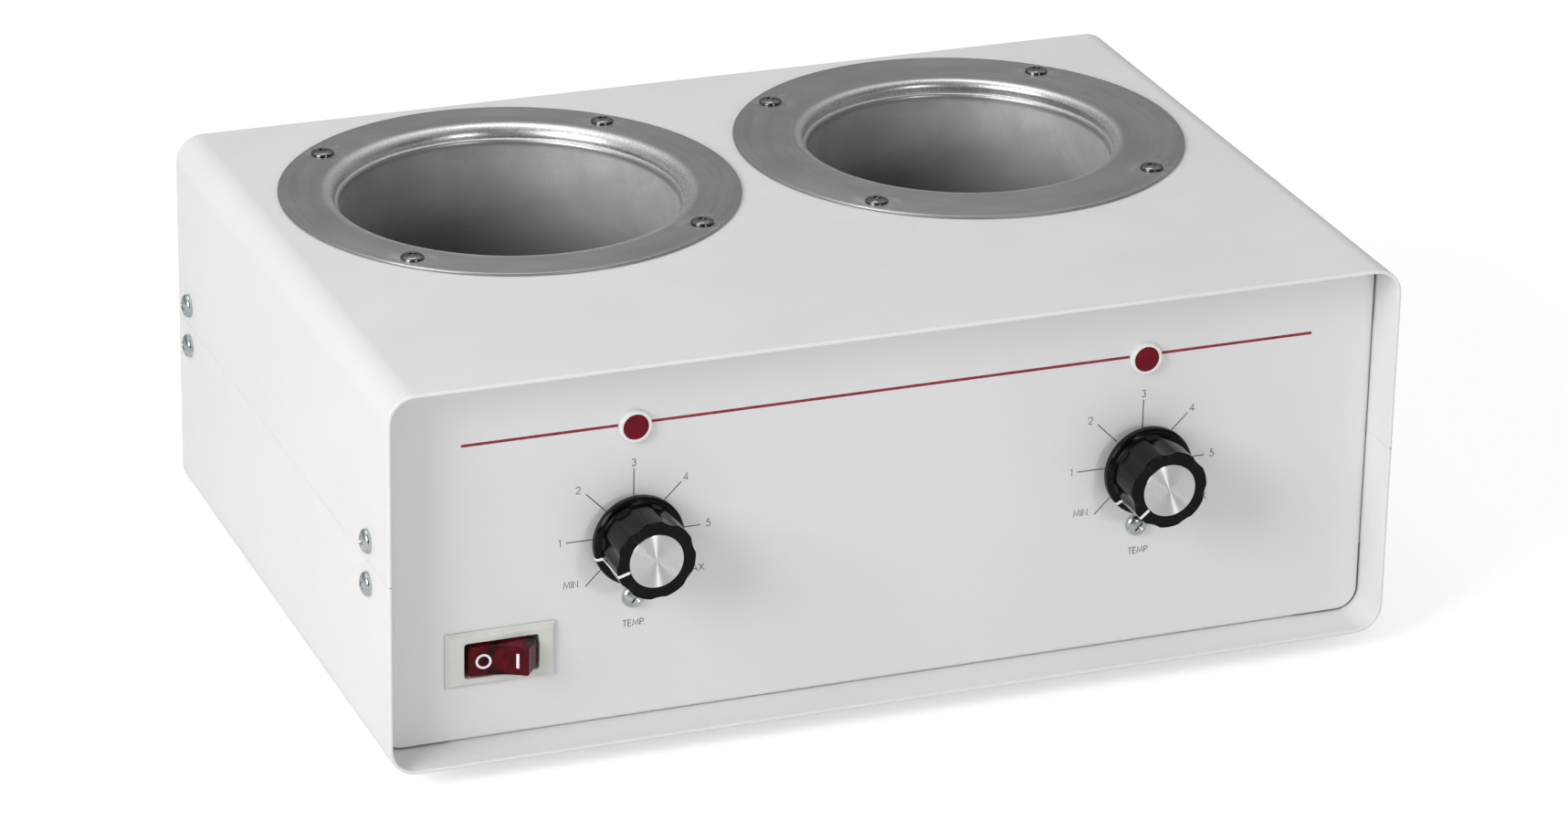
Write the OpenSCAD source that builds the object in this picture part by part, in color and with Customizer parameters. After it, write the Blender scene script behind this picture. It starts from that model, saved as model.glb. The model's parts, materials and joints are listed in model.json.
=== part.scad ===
// Double wax warmer: a sheet steel case in two shells round a set-back front panel,
// with two spun aluminium wells in its top, two thermostat knobs, two pilot lights
// and a lit rocker switch. The origin is the middle of the space it stands on,
// +X runs to the right seen from the front, +Y to the back and +Z up.

/* [Case] */
// Width of the case
case_w = 412; // [408:1:420]
// Depth of the case
case_d = 286; // [284:1:296]
// Height of the case without its feet
case_h = 155; // [152:1:162]
// Thickness of the sheet steel
sheet = 1.5; // [1.2:0.1:1.6]
// Outer radius of the four long bends
case_bend_r = 11; // [9:0.5:13]
// Height of the seam between the two shells
seam_z = 78.5; // [76:0.5:82]
// Open joint between the two shells
seam_gap = 0.2; // [0.2:0.1:0.6]

/* [Panels] */
// How far the front panel is set back
front_recess = 19; // [17:0.5:21]
// How far the rear panel is set back
rear_recess = 10; // [8:0.5:12]
// Clearance between the flanges of a panel and the shells
panel_gap = 0.2; // [0.2:0.1:0.8]
// Clearance between the corners of a panel, which have no flange, and the shells
corner_gap = 0.9; // [0.6:0.1:1.2]
// Depth of the bent flanges of a panel
flange_d = 14; // [12:1:16]
// Outer radius of a flange's fold
fold_r = 1.7; // [1.7:0.1:2.8]
// Stretch at each corner of a panel that has no flange
corner_free = 28; // [24:1:32]

/* [Side screws] */
// Distance of the side screws behind the face of a panel
side_screw_in = 6.2; // [6:0.1:7]
// Height between the screw above the seam and the one below it
side_screw_pitch = 17.6; // [16:0.2:20]

/* [Wells] */
// Distance of each well's axis from the middle
well_x = 96.3; // [95.5:0.1:97.5]
// Distance of the well axes behind the front edge
well_y = 186.6; // [184:0.2:188]
// Radius of the riveted rings
ring_r = 92.2; // [91.5:0.1:92.5]
// Radius of the left well's mouth
left_mouth_r = 69.5; // [68:0.1:70]
// Radius of the right well's mouth
right_mouth_r = 63.4; // [62:0.1:66]
// Radius of the rolled lip of the left well
left_lip_r = 4.8; // [3:0.1:5]
// Radius of the rolled lip of the right well
right_lip_r = 3.1; // [2.6:0.1:4]
// Thickness of the aluminium
well_t = 1.2; // [1:0.1:1.4]
// Depth of the wells below their rings
well_depth = 110; // [100:1:116]
// Depth of the collar above the step in the wall
collar_d = 3.7; // [3:0.1:5]
// How far the wall steps inwards under the collar
well_step = 1.6; // [1.4:0.1:2.4]
// Outer radius of the bend between wall and floor
floor_bend_r = 9; // [7:0.5:11]
// Radius of the circle that the rivets lie on
rivet_circle_r = 84.2; // [83:0.1:85]
// Radius of a rivet's head
rivet_head_r = 4.7; // [4.5:0.1:4.9]

/* [Controls] */
// Place of the left dial from the middle
dial_left_x = -103.1; // [-105:0.1:-101]
// Place of the right dial from the middle
dial_right_x = 106.7; // [104:0.1:108]
// Height of the dials
dial_z = 78; // [76:0.5:80]
// Height of the pilot lights
pilot_z = 122.9; // [121:0.1:125]
// Place of the right pilot light from the middle
pilot_right_x = 106.4; // [104:0.1:108]
// Depth of the visible screws below the dials' axes
dial_screw_drop = 25.7; // [25:0.1:27]
// Place of the right one of these screws from the middle
screw_right_x = 105.7; // [104:0.1:108]
// Angle of the left pointer, clockwise from straight up
left_dial_turn = -107; // [-135:1:135]
// Angle of the right pointer, clockwise from straight up
right_dial_turn = -131; // [-135:1:135]

/* [Knobs] */
// Radius of a knob's skirt
skirt_r = 18.2; // [18:0.1:19]
// Gap between the left knob's skirt and the panel
skirt_gap = 4.5; // [4:0.1:5]
// How much further out the right knob sits on its spindle
right_knob_lift = 1.1; // [0:0.1:1.5]
// Thickness of the skirt
skirt_t = 3.5; // [3:0.1:4]
// Radius of the fluted grip
grip_r = 15.8; // [15.5:0.1:16]
// Height of the left knob's face above the panel
knob_top = 26.5; // [26:0.1:27]
// Number of flutes round the grip
flute_count = 7; // [6:1:8]
// Depth of a flute
flute_depth = 0.8; // [0.6:0.1:1]
// Radius of the hollow of a flute
flute_r = 11.1; // [9:0.1:12]
// Radius of the aluminium inlay
cap_r = 10.75; // [10:0.05:11]

/* [Switch] */
// Place of the switch from the middle
switch_x = -156.2; // [-158:0.1:-155]
// Height of the switch
switch_z = 35.7; // [34:0.1:38]
// Width of the bevelled frame
frame_w = 44.2; // [43:0.1:45]
// Height of the bevelled frame
frame_h = 22.7; // [22:0.1:23]
// How far the frame stands out of the panel
frame_t = 2.4; // [2:0.1:2.8]
// Tilt of the rocker from its middle place
rocker_tilt = 16.5; // [14:0.5:17]
// Tilt of the see-saw contact from its middle place
contact_tilt = 8; // [6:0.5:8]

/* [Feet] */
// Height of the feet
foot_h = 8; // [7:0.5:10]
// Radius of the feet at the top
foot_r = 11; // [10:0.5:12]
// Distance of the feet from the middle
foot_x = 170; // [165:1:175]
// Distance of the front feet behind the front edge
foot_front_y = 46; // [40:1:50]
// Distance of the rear feet behind the front edge
foot_rear_y = 246; // [240:1:250]

/* [Hidden] */
$fn = 96;
left = -1;
right = 1;
sides = [left, right];
// a cut runs this far past the faces that it opens
over = 1;

// the right knob's face stands out of the case, so it is the frontmost point of the whole
knob_out = knob_top + right_knob_lift - front_recess;
front_y = -(case_d - knob_out) / 2;

panel_w = case_w - 2 * sheet - 2 * panel_gap;
panel_h = case_h - 2 * sheet - 2 * panel_gap;
corner_cut = corner_gap - panel_gap;
panel_r = case_bend_r - sheet - corner_gap;

// M5 side and thermostat screws, M4 foot and band screws, M3 inlet screws
m5_r = 2.4;
m5_hole_r = 2.6;
m5_head_r = 4.8;
m5_head_h = 3.2;
dial_screw_head_r = 4.5;
m4_r = 1.95;
m4_hole_r = 2.2;
m4_head_r = 3.8;
m4_head_h = 2.6;
m3_r = 1.45;
m3_hole_r = 1.65;
m3_head_r = 2.8;
m3_head_h = 1.9;
thread_gap = 0.05;
side_screw_l = 11;
weld_nut_w = 7.4;
weld_nut_t = 3.5;
m4_nut_r = 4;
m4_nut_t = 3.2;
m3_nut_r = 3.1;
m3_nut_t = 2.4;

rivet_r = 2.4;
rivet_hole_r = 2.5;
rivet_head_h = 1.7;
rivet_mouth_r = 1.3;
rivet_tail_r = 3.3;
rivet_tail_h = 4;

foot_bottom_r = foot_r - 1.5;
foot_pocket_r = 5.2;
foot_pocket_h = 5;
foot_screw_l = 9.5;

vent_rows = 5;
vent_pitch = 11;
vent_l = 34;
vent_r = 2;

// heater band, insulation, sensor and fuse on a well's wall, heights below the ring
band_gap = 0.15;
band_t = 2.6;
band_h = 40;
band_top = -58;
band_slot = 8;
ear_l = 12;
ear_t = 1.5;
ear_h = 30;
jacket_t = 9;
jacket_gap = 0.4;
jacket_slot = 48;
jacket_over = 4;
bulb_r = 3;
bulb_l = 36;
bulb_top = -12;
bulb_turn = 30;
clip_h = 10;
clip_t = 0.8;
clip_turn = 9;
clip_gap = 0.05;

bush_r = 5;
bush_top = 8;
bush_nut_r = 8;
bush_nut_t = 3;
spindle_r = 3;
spindle_gap = 0.05;
spindle_in = 17;
spindle_top = 23.5;
flat_in = 1.5;
flat_start = 10;
stat_w = 34;
stat_h = 38;
stat_d = 30;
bracket_t = 1.5;
bracket_w = 37.6;
bracket_up = 24;
bracket_down = 34;
wing_d = 18;
tab_w = 6.3;
tab_t = 0.8;
tab_l = 8;

skirt_edge = 0.8;
grip_foot_h = 2;
face_edge = 0.5;
pocket_r = 13;
pocket_top = 11;
cap_t = 0.8;
face_drop = 0.2;
grub_z = 17;
grub_r = 2;
grub_l = 7;
// the grub screw sits in a flute this far clockwise from the pointer
grub_turn = 4.5 * 360 / flute_count;

bezel_r = 6.5;
bezel_t = 2.4;
bezel_edge = 0.5;
shank_r = 4.9;
shank_l = 20;
lens_r = 5.05;
lens_seat = 1.2;
lens_out = 0.15;
lamp_r = 2.8;
lamp_l = 9;
push_nut_r = 8;

housing_w = 36;
housing_h = 17.6;
housing_back = 15.4;
cavity_w = 29.7;
cavity_h = 14.4;
cavity_back = 13.6;
bevel = 1.8;
frame_edge = 0.6;
cutout_gap = 0.2;
pivot_in = 1.9;
// half widths and heights over the pivot of the rocker's face, shoulders and foot
rocker_face_x = 11.4;
rocker_face_z = 9.4;
rocker_side_x = 14.55;
rocker_side_z = 1;
rocker_foot_x = 9;
rocker_foot_z = -4;
rocker_hollow_r = 33;
rocker_rim = 0.3;
rocker_corner_r = 2.2;
rocker_h = 13.4;
rocker_face_h = 12;
trunnion_r = 1.4;
trunnion_l = 1.1;
trunnion_gap = 0.05;
plunger_r = 1.25;
plunger_l = 8.3;
contact_in = 11;
contact_l = 17;
contact_w = 5;
contact_t = 0.8;
contact_clear = 0.3;
contact_roll_r = 0.6;
blade_x = 7.5;
blade_l = 12;

inlet_x = 150;
inlet_z = 42;
inlet_flange_w = 50;
inlet_flange_h = 24;
inlet_flange_t = 3;
inlet_body_w = 27.4;
inlet_body_h = 20.2;
inlet_back = 16;
socket_w = 24.4;
socket_h = 16.4;
socket_floor = 13;
socket_corner = 5;
pin_w = 2;
pin_h = 4;
pin_out = 1.5;
inlet_screw_x = 20;

block_y = 60;
block_d = 18;
block_h = 14;
way_count = 5;
way_pitch = 10.5;
way_h = 6;
way_r = 2;
way_screw_r = 1.9;
stud_x = 182;
stud_y = 205;
lug_l = 10;
post_x = 17;
post_r = 2;
post_out = 6;
tab_x = 9;
tab_low = -10;
tab_high = 4;

wire_r = 1.3;
lamp_wire_r = 0.9;
wire_sides = 8;
wire_steps = 3;
wire_gap = 0.5;
capillary_r = 1;

function mouth_r(side) = side < 0 ? left_mouth_r : right_mouth_r;
function lip_r(side) = side < 0 ? left_lip_r : right_lip_r;
function dial_x(side) = side < 0 ? dial_left_x : dial_right_x;
function pilot_x(side) = side < 0 ? dial_left_x : pilot_right_x;
function screw_x(side) = side < 0 ? dial_left_x : screw_right_x;
function dial_turn(side) = side < 0 ? left_dial_turn : right_dial_turn;
function wall_out_r(side) = mouth_r(side) - well_step + well_t;
function band_out_r(side) = wall_out_r(side) + band_gap + band_t;
// the sensor faces the middle of the case and the fuse its side
function sensor_angle(side) = -90 - side * bulb_turn;
function fuse_angle(side) = -90 + side * bulb_turn;
function around(side, angle, gap) = [
    side * well_x + (wall_out_r(side) + gap) * cos(angle),
    well_y + (wall_out_r(side) + gap) * sin(angle)
];

// functions for the swept tubes of the capillaries and wires
function unit(v) = v / norm(v);
function spline(a, b, c, d, t) = 0.5 * (2 * b + (c - a) * t + (2 * a - 5 * b + 4 * c - d) * t * t
    + (3 * b - a - 3 * c + d) * t * t * t);
function smooth_path(p, n) = concat(
    [for (i = [0 : len(p) - 2]) for (k = [0 : n - 1])
        spline(p[max(i - 1, 0)], p[i], p[i + 1], p[min(i + 2, len(p) - 1)], k / n)],
    [p[len(p) - 1]]
);
function heading(p, i) = unit(p[min(i + 1, len(p) - 1)] - p[max(i - 1, 0)]);
function tube_ring(c, dir, r, n) = let(
    u = unit(cross(dir, [0.31, 0.47, 0.83])),
    v = cross(dir, u)
) [for (k = [0 : n - 1]) c + r * (cos(360 * k / n) * u + sin(360 * k / n) * v)];

// moves a piece from the case's own place, the middle of its lower front edge, to the origin
module in_case() {
    translate([0, front_y, foot_h]) children();
}

// a place on the front panel's face, with Z pointing out of it and Y up
module on_panel(x, z) {
    in_case() translate([x, front_recess, z]) rotate([90, 0, 0]) children();
}

// a place on the rear panel's face, with Z pointing out of it and Y up
module on_rear(x, z) {
    in_case() translate([x, case_d - rear_recess, z]) rotate([90, 0, 180]) children();
}

// a well's axis at the height of the case's top
module at_well(side) {
    in_case() translate([side * well_x, well_y, case_h]) children();
}

module rounded_rect(w, h, r) {
    square([w - 2 * r, h], center = true);
    square([w, h - 2 * r], center = true);
    for (x = [-1, 1]) for (y = [-1, 1]) translate([x * (w / 2 - r), y * (h / 2 - r)]) circle(r);
}

// a quarter of a flat ring, in the quadrant that sx and sy point to
module quarter_ring(outer, inner, sx, sy) {
    intersection() {
        difference() {
            circle(outer);
            circle(inner);
        }
        translate([sx > 0 ? 0 : -outer, sy > 0 ? 0 : -outer]) square(outer);
    }
}

// screw with a domed head on z = 0, its shank below, and a cross recess
module pan_screw(head_r, head_h, shank, length) {
    edge_h = head_h * 0.3;
    dome_h = head_h - edge_h;
    dome_r = (head_r * head_r + dome_h * dome_h) / (2 * dome_h);
    difference() {
        union() {
            rotate_extrude() intersection() {
                translate([0, head_h - dome_r]) circle(dome_r);
                square([head_r, head_h]);
            }
            translate([0, 0, -length]) cylinder(h = length + head_h / 4, r = shank);
        }
        for (turn = [45, 135]) rotate([0, 0, turn])
            translate([-head_r * 0.52, -head_r * 0.11, head_h * 0.45])
                cube([head_r * 1.04, head_r * 0.22, head_h]);
    }
}

module hex_nut(corner_r, thickness, hole_r) {
    difference() {
        cylinder(h = thickness, r = corner_r, $fn = 6);
        translate([0, 0, -over]) cylinder(h = thickness + 2 * over, r = hole_r);
    }
}

// a tube swept along the points of a path
module swept_tube(path, r, n) {
    last = len(path) - 1;
    points = [for (i = [0 : last]) each tube_ring(path[i], heading(path, i), r, n)];
    walls = [for (i = [0 : last - 1]) for (k = [0 : n - 1]) let(a = i * n + k, b = i * n + (k + 1) % n)
        each [[a, a + n, b + n], [a, b + n, b]]];
    caps = [for (k = [1 : n - 2]) each [[0, k, k + 1], [last * n, last * n + k + 1, last * n + k]]];
    polyhedron(points = points, faces = concat(walls, caps), convexity = 6);
}

module sleeve(from_z, to_z) {
    rotate([90, 0, 0]) translate([0, 0, -case_d]) linear_extrude(case_d) intersection() {
        translate([0, case_h / 2]) difference() {
            rounded_rect(case_w, case_h, case_bend_r);
            rounded_rect(case_w - 2 * sheet, case_h - 2 * sheet, case_bend_r - sheet);
        }
        translate([-case_w, from_z]) square([2 * case_w, to_z - from_z]);
    }
}

// the places of the side screws: y from the front edge, z above or below the seam
module side_screw_places(side, rows) {
    for (y = [front_recess + side_screw_in, case_d - rear_recess - side_screw_in])
        for (row = rows)
            translate([side * case_w / 2, y, seam_z + row * side_screw_pitch / 2])
                rotate([0, 90 * side, 0]) children();
}

module side_screw_holes(rows) {
    for (side = sides) side_screw_places(side, rows)
        translate([0, 0, -3 * sheet]) cylinder(h = 6 * sheet, r = m5_hole_r);
}

module foot_places() {
    for (side = sides) for (y = [foot_front_y, foot_rear_y]) translate([side * foot_x, y, 0]) children();
}

module rivet_places() {
    for (turn = [45 : 90 : 315]) rotate([0, 0, turn]) translate([rivet_circle_r, 0, 0]) children();
}

module vent_slot() {
    translate([0, 0, -over]) {
        translate([-vent_l / 2 + vent_r, -vent_r, 0])
            cube([vent_l - 2 * vent_r, 2 * vent_r, sheet + 2 * over]);
        for (x = [-1, 1]) translate([x * (vent_l / 2 - vent_r), 0, 0])
            cylinder(h = sheet + 2 * over, r = vent_r);
    }
}

module top_cover() {
    color("white") in_case() difference() {
        sleeve(seam_z + seam_gap / 2, case_h + over);
        for (side = sides) translate([side * well_x, well_y, case_h - 2 * sheet]) {
            cylinder(h = 4 * sheet, r = mouth_r(side) + lip_r(side) + 0.8);
            rivet_places() cylinder(h = 4 * sheet, r = rivet_hole_r);
        }
        side_screw_holes([1]);
    }
}

module bottom_tray() {
    color("white") in_case() difference() {
        sleeve(-over, seam_z - seam_gap / 2);
        side_screw_holes([-1]);
        foot_places() translate([0, 0, -over]) cylinder(h = sheet + 2 * over, r = m4_hole_r);
        for (side = sides) for (row = [0 : vent_rows - 1])
            translate([side * well_x, well_y + (row - (vent_rows - 1) / 2) * vent_pitch, 0]) vent_slot();
    }
}

// a bent flange along Y, with its outer face on x = 0 and its panel's face on z = 0
module flange(length) {
    rotate([90, 0, 0]) linear_extrude(length, center = true) {
        translate([-fold_r, -fold_r]) quarter_ring(fold_r, fold_r - sheet, 1, 1);
        translate([-sheet, -flange_d]) square([sheet, flange_d - fold_r]);
    }
}

// panel with four flanges, seen from outside: its face is z = 0 and its middle the origin
module flanged_panel() {
    edges = [[panel_w, panel_h], [panel_h, panel_w]];
    difference() {
        union() {
            difference() {
                translate([0, 0, -sheet]) linear_extrude(sheet)
                    rounded_rect(panel_w - 2 * corner_cut, panel_h - 2 * corner_cut, panel_r);
                for (k = [0 : 3]) rotate([0, 0, 90 * k])
                    translate([edges[k % 2][0] / 2 - fold_r, 0, -sheet - over])
                        translate([0, corner_free - edges[k % 2][1] / 2, 0])
                            cube([fold_r + over, edges[k % 2][1] - 2 * corner_free, sheet + 2 * over]);
            }
            for (k = [0 : 3]) rotate([0, 0, 90 * k])
                translate([edges[k % 2][0] / 2, 0, 0]) flange(edges[k % 2][1] - 2 * corner_free);
        }
        for (side = sides) for (row = [-1, 1])
            translate([side * panel_w / 2, seam_z - case_h / 2 + row * side_screw_pitch / 2, -side_screw_in])
                rotate([0, 90, 0]) translate([0, 0, -3 * sheet]) cylinder(h = 6 * sheet, r = m5_hole_r);
    }
}

module front_panel() {
    color("whitesmoke") difference() {
        on_panel(0, case_h / 2) flanged_panel();
        for (side = sides) {
            on_panel(dial_x(side), dial_z) translate([0, 0, -3 * sheet])
                cylinder(h = 6 * sheet, r = bush_r + 0.15);
            on_panel(screw_x(side), dial_z - dial_screw_drop) translate([0, 0, -3 * sheet])
                cylinder(h = 6 * sheet, r = m5_hole_r);
            on_panel(pilot_x(side), pilot_z) translate([0, 0, -3 * sheet])
                cylinder(h = 6 * sheet, r = shank_r + 0.1);
        }
        on_panel(switch_x, switch_z)
            cube([housing_w + 2 * cutout_gap, housing_h + 2 * cutout_gap, 6 * sheet], center = true);
    }
}

module rear_panel() {
    color("whitesmoke") difference() {
        on_rear(0, case_h / 2) flanged_panel();
        on_rear(inlet_x, inlet_z) {
            cube([inlet_body_w + 2 * cutout_gap, inlet_body_h + 2 * cutout_gap, 6 * sheet], center = true);
            for (x = [-1, 1]) translate([x * inlet_screw_x, 0, -3 * sheet])
                cylinder(h = 6 * sheet, r = m3_hole_r);
        }
    }
}

module case_screws(side) {
    color("silver") in_case() side_screw_places(side, [-1, 1])
        pan_screw(m5_head_r, m5_head_h, m5_r, side_screw_l);
}

module weld_nuts() {
    color("darkgray") in_case() for (side = sides) side_screw_places(side, [-1, 1])
        translate([0, 0, -2 * sheet - panel_gap - weld_nut_t]) difference() {
            translate([-weld_nut_w / 2, -weld_nut_w / 2, 0]) cube([weld_nut_w, weld_nut_w, weld_nut_t]);
            translate([0, 0, -over]) cylinder(h = weld_nut_t + 2 * over, r = m5_r + thread_gap);
        }
}

module feet(y) {
    color("dimgray") in_case() for (side = sides) translate([side * foot_x, y, -foot_h]) difference() {
        union() {
            cylinder(h = 1, r1 = foot_bottom_r - 1, r2 = foot_bottom_r);
            translate([0, 0, 1]) cylinder(h = foot_h - 1, r1 = foot_bottom_r, r2 = foot_r);
        }
        translate([0, 0, -over]) cylinder(h = foot_pocket_h + over, r = foot_pocket_r);
        cylinder(h = foot_h + over, r = m4_hole_r);
    }
}

module foot_screws() {
    color("silver") in_case() foot_places() translate([0, 0, foot_pocket_h - foot_h])
        rotate([180, 0, 0]) pan_screw(m4_head_r, m4_head_h, m4_r, foot_screw_l);
}

module foot_nuts() {
    color("silver") in_case() foot_places() translate([0, 0, sheet])
        hex_nut(m4_nut_r, m4_nut_t, m4_r + thread_gap);
}

// the spun pot: ring on the case's top, rolled lip, collar, step, wall and floor
module well(side) {
    lip = lip_r(side);
    mouth = mouth_r(side);
    step_r = well_step / 2;
    step_x = mouth + well_t / 2 - step_r;
    wall = mouth - well_step;
    floor_x = wall + well_t - floor_bend_r;
    color("silver") at_well(side) difference() {
        rotate_extrude() {
            translate([mouth + lip, 0]) square([ring_r - mouth - lip, well_t]);
            translate([mouth + lip, well_t - lip]) quarter_ring(lip, lip - well_t, -1, 1);
            translate([mouth, -collar_d]) square([well_t, collar_d + well_t - lip]);
            translate([step_x, -collar_d]) quarter_ring(step_r + well_t / 2, step_r - well_t / 2, 1, -1);
            translate([step_x, -collar_d - well_step])
                quarter_ring(step_r + well_t / 2, step_r - well_t / 2, -1, 1);
            translate([wall, floor_bend_r - well_depth])
                square([well_t, well_depth - floor_bend_r - collar_d - well_step]);
            translate([floor_x, floor_bend_r - well_depth])
                quarter_ring(floor_bend_r, floor_bend_r - well_t, 1, -1);
            translate([0, -well_depth]) square([floor_x, well_t]);
        }
        rivet_places() translate([0, 0, -over]) cylinder(h = well_t + 2 * over, r = rivet_hole_r);
    }
}

// blind rivets, set through ring and cover, with their mandrel mouth open at the top
module well_rivets(side) {
    dome_r = (rivet_head_r * rivet_head_r + rivet_head_h * rivet_head_h) / (2 * rivet_head_h);
    color("gray") at_well(side) rivet_places() rotate_extrude() difference() {
        union() {
            translate([0, well_t]) intersection() {
                translate([0, rivet_head_h - dome_r]) circle(dome_r);
                square([rivet_head_r, rivet_head_h]);
            }
            translate([0, -sheet]) square([rivet_r, sheet + well_t]);
            translate([0, -sheet - rivet_tail_h]) square([rivet_tail_r, rivet_tail_h]);
        }
        translate([0, well_t - 1]) square([rivet_mouth_r, rivet_head_h + over]);
    }
}

module heater_band(side) {
    inner = wall_out_r(side) + band_gap;
    outer = inner + band_t;
    color("slategray") at_well(side) difference() {
        union() {
            translate([0, 0, band_top - band_h]) cylinder(h = band_h, r = outer);
            for (x = sides) translate([x * (band_slot + ear_t) / 2 - ear_t / 2, -outer - ear_l, 0])
                translate([0, 0, band_top - (band_h + ear_h) / 2]) cube([ear_t, ear_l + band_t, ear_h]);
            for (x = sides) translate([x * post_x, 0, band_top - band_h / 2]) rotate([90, 0, 0])
                cylinder(h = outer + post_out, r = post_r);
        }
        translate([0, 0, band_top - band_h - over]) cylinder(h = band_h + 2 * over, r = inner);
        translate([-band_slot / 2, -outer - ear_l - over, band_top - band_h - over])
            cube([band_slot, ear_l + band_t + 3 * over, band_h + 2 * over]);
        translate([-band_slot, -outer - ear_l / 2, band_top - band_h / 2]) rotate([0, 90, 0])
            cylinder(h = 2 * band_slot, r = m4_hole_r);
    }
}

// a place on the bolt through a band's ears, Z along the bolt
module at_band_bolt(side) {
    at_well(side) translate([0, -band_out_r(side) - ear_l / 2, band_top - band_h / 2])
        rotate([0, 90, 0]) children();
}

module band_bolts() {
    color("silver") for (side = sides) at_band_bolt(side) translate([0, 0, band_slot / 2 + ear_t])
        pan_screw(m4_head_r, m4_head_h, m4_r, band_slot + 2 * ear_t + m4_nut_t + 2);
}

module band_nuts() {
    color("silver") for (side = sides) at_band_bolt(side)
        translate([0, 0, -band_slot / 2 - ear_t - m4_nut_t]) hex_nut(m4_nut_r, m4_nut_t, m4_r + thread_gap);
}

// fibre blanket round the band, open in front for the ears
module insulation(side) {
    inner = band_out_r(side) + jacket_gap;
    height = band_h + 2 * jacket_over;
    color("khaki") at_well(side) translate([0, 0, band_top - band_h - jacket_over]) difference() {
        cylinder(h = height, r = inner + jacket_t);
        translate([0, 0, -over]) cylinder(h = height + 2 * over, r = inner);
        translate([-jacket_slot / 2, -inner - jacket_t - over, -over])
            cube([jacket_slot, inner + jacket_t, height + 2 * over]);
    }
}

// bulb on the well's wall, with the capillary that runs to the thermostat
module sensor(side) {
    place = around(side, sensor_angle(side), bulb_r + clip_gap);
    entry = [dial_x(side) - side * 8, front_recess + 22, dial_z + stat_h / 2];
    color("peru") in_case() {
        translate([place[0], place[1], case_h + bulb_top - bulb_l]) cylinder(h = bulb_l, r = bulb_r);
        swept_tube(smooth_path([
            [place[0], place[1], case_h + bulb_top],
            [place[0], place[1], case_h + bulb_top + 4],
            [place[0] - side * 2, place[1] - 5, case_h - 9],
            [entry[0] - side * 20, place[1] - 30, case_h - 14],
            [entry[0] - side * 6, entry[1] + 14, dial_z + 52],
            [entry[0], entry[1], dial_z + 36],
            [entry[0], entry[1], entry[2] + 4],
            entry
        ], wire_steps), capillary_r, wire_sides);
    }
}

// fuse in its sleeve, with a lead at each end
module thermal_fuses() {
    color("ivory") in_case() for (side = sides) {
        place = around(side, fuse_angle(side), bulb_r + clip_gap);
        translate([place[0], place[1], case_h + bulb_top - bulb_l + 6])
            cylinder(h = bulb_l - 12, r = bulb_r);
        translate([place[0], place[1], case_h + bulb_top - bulb_l]) cylinder(h = bulb_l, r = 0.6);
    }
}

module retaining_clips() {
    color("lightsteelblue") for (side = sides) for (angle = [sensor_angle(side), fuse_angle(side)])
        at_well(side) translate([0, 0, bulb_top - (bulb_l + clip_h) / 2]) rotate([0, 0, angle])
            difference() {
                union() {
                    intersection() {
                        cylinder(h = clip_h, r = wall_out_r(side) + clip_gap + clip_t);
                        translate([0, -wall_out_r(side) * sin(clip_turn), 0])
                            cube([2 * wall_out_r(side), 2 * wall_out_r(side) * sin(clip_turn), clip_h]);
                    }
                    translate([wall_out_r(side) + bulb_r + clip_gap, 0, 0])
                        cylinder(h = clip_h, r = bulb_r + clip_gap + clip_t);
                }
                translate([0, 0, -over]) cylinder(h = clip_h + 2 * over, r = wall_out_r(side) + clip_gap);
                translate([wall_out_r(side) + bulb_r + clip_gap, 0, -over])
                    cylinder(h = clip_h + 2 * over, r = bulb_r + clip_gap);
            }
}

// thermostat body behind the bracket, with its threaded bush and two tabs
module thermostat(side) {
    back = -sheet - bracket_t - stat_d;
    color("tan") on_panel(dial_x(side), dial_z) difference() {
        union() {
            translate([-stat_w / 2, -stat_h / 2, back]) cube([stat_w, stat_h, stat_d]);
            translate([0, 0, back + stat_d / 2]) cylinder(h = bush_top - back - stat_d / 2, r = bush_r);
            for (x = [-1, 1]) for (y = [tab_low, tab_high])
                translate([x * tab_x - tab_w / 2, y - tab_t / 2, back - tab_l])
                    cube([tab_w, tab_t, tab_l + over]);
        }
        translate([0, 0, -spindle_in - 0.5])
            cylinder(h = spindle_in + bush_top + over, r = spindle_r + spindle_gap);
    }
}

// bracket between panel and thermostat, with side wings and a nut for the lower screw
module thermostat_bracket(side) {
    screw_side = screw_x(side) - dial_x(side);
    color("silver") on_panel(dial_x(side), dial_z) difference() {
        union() {
            translate([-bracket_w / 2, -bracket_down, -sheet - bracket_t])
                cube([bracket_w, bracket_up + bracket_down, bracket_t]);
            for (x = [-1, 1]) translate([x * (bracket_w - bracket_t) / 2 - bracket_t / 2, -stat_h / 2, 0])
                translate([0, 0, -sheet - wing_d]) cube([bracket_t, stat_h, wing_d]);
            translate([screw_side - weld_nut_w / 2, -dial_screw_drop - weld_nut_w / 2 + 1, 0])
                translate([0, 0, -sheet - bracket_t - weld_nut_t])
                    cube([weld_nut_w, weld_nut_w - 2, weld_nut_t]);
        }
        translate([0, 0, -wing_d]) cylinder(h = wing_d, r = bush_r + 0.15);
        translate([screw_side, -dial_screw_drop, -wing_d]) cylinder(h = wing_d, r = m5_r + thread_gap);
    }
}

module thermostat_screws() {
    color("gainsboro") for (side = sides) on_panel(screw_x(side), dial_z - dial_screw_drop)
        pan_screw(dial_screw_head_r, m5_head_h, m5_r, sheet + bracket_t + weld_nut_t + 2);
}

module bush_nuts() {
    color("silver") for (side = sides) on_panel(dial_x(side), dial_z)
        hex_nut(bush_nut_r, bush_nut_t, bush_r + thread_gap);
}

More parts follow.
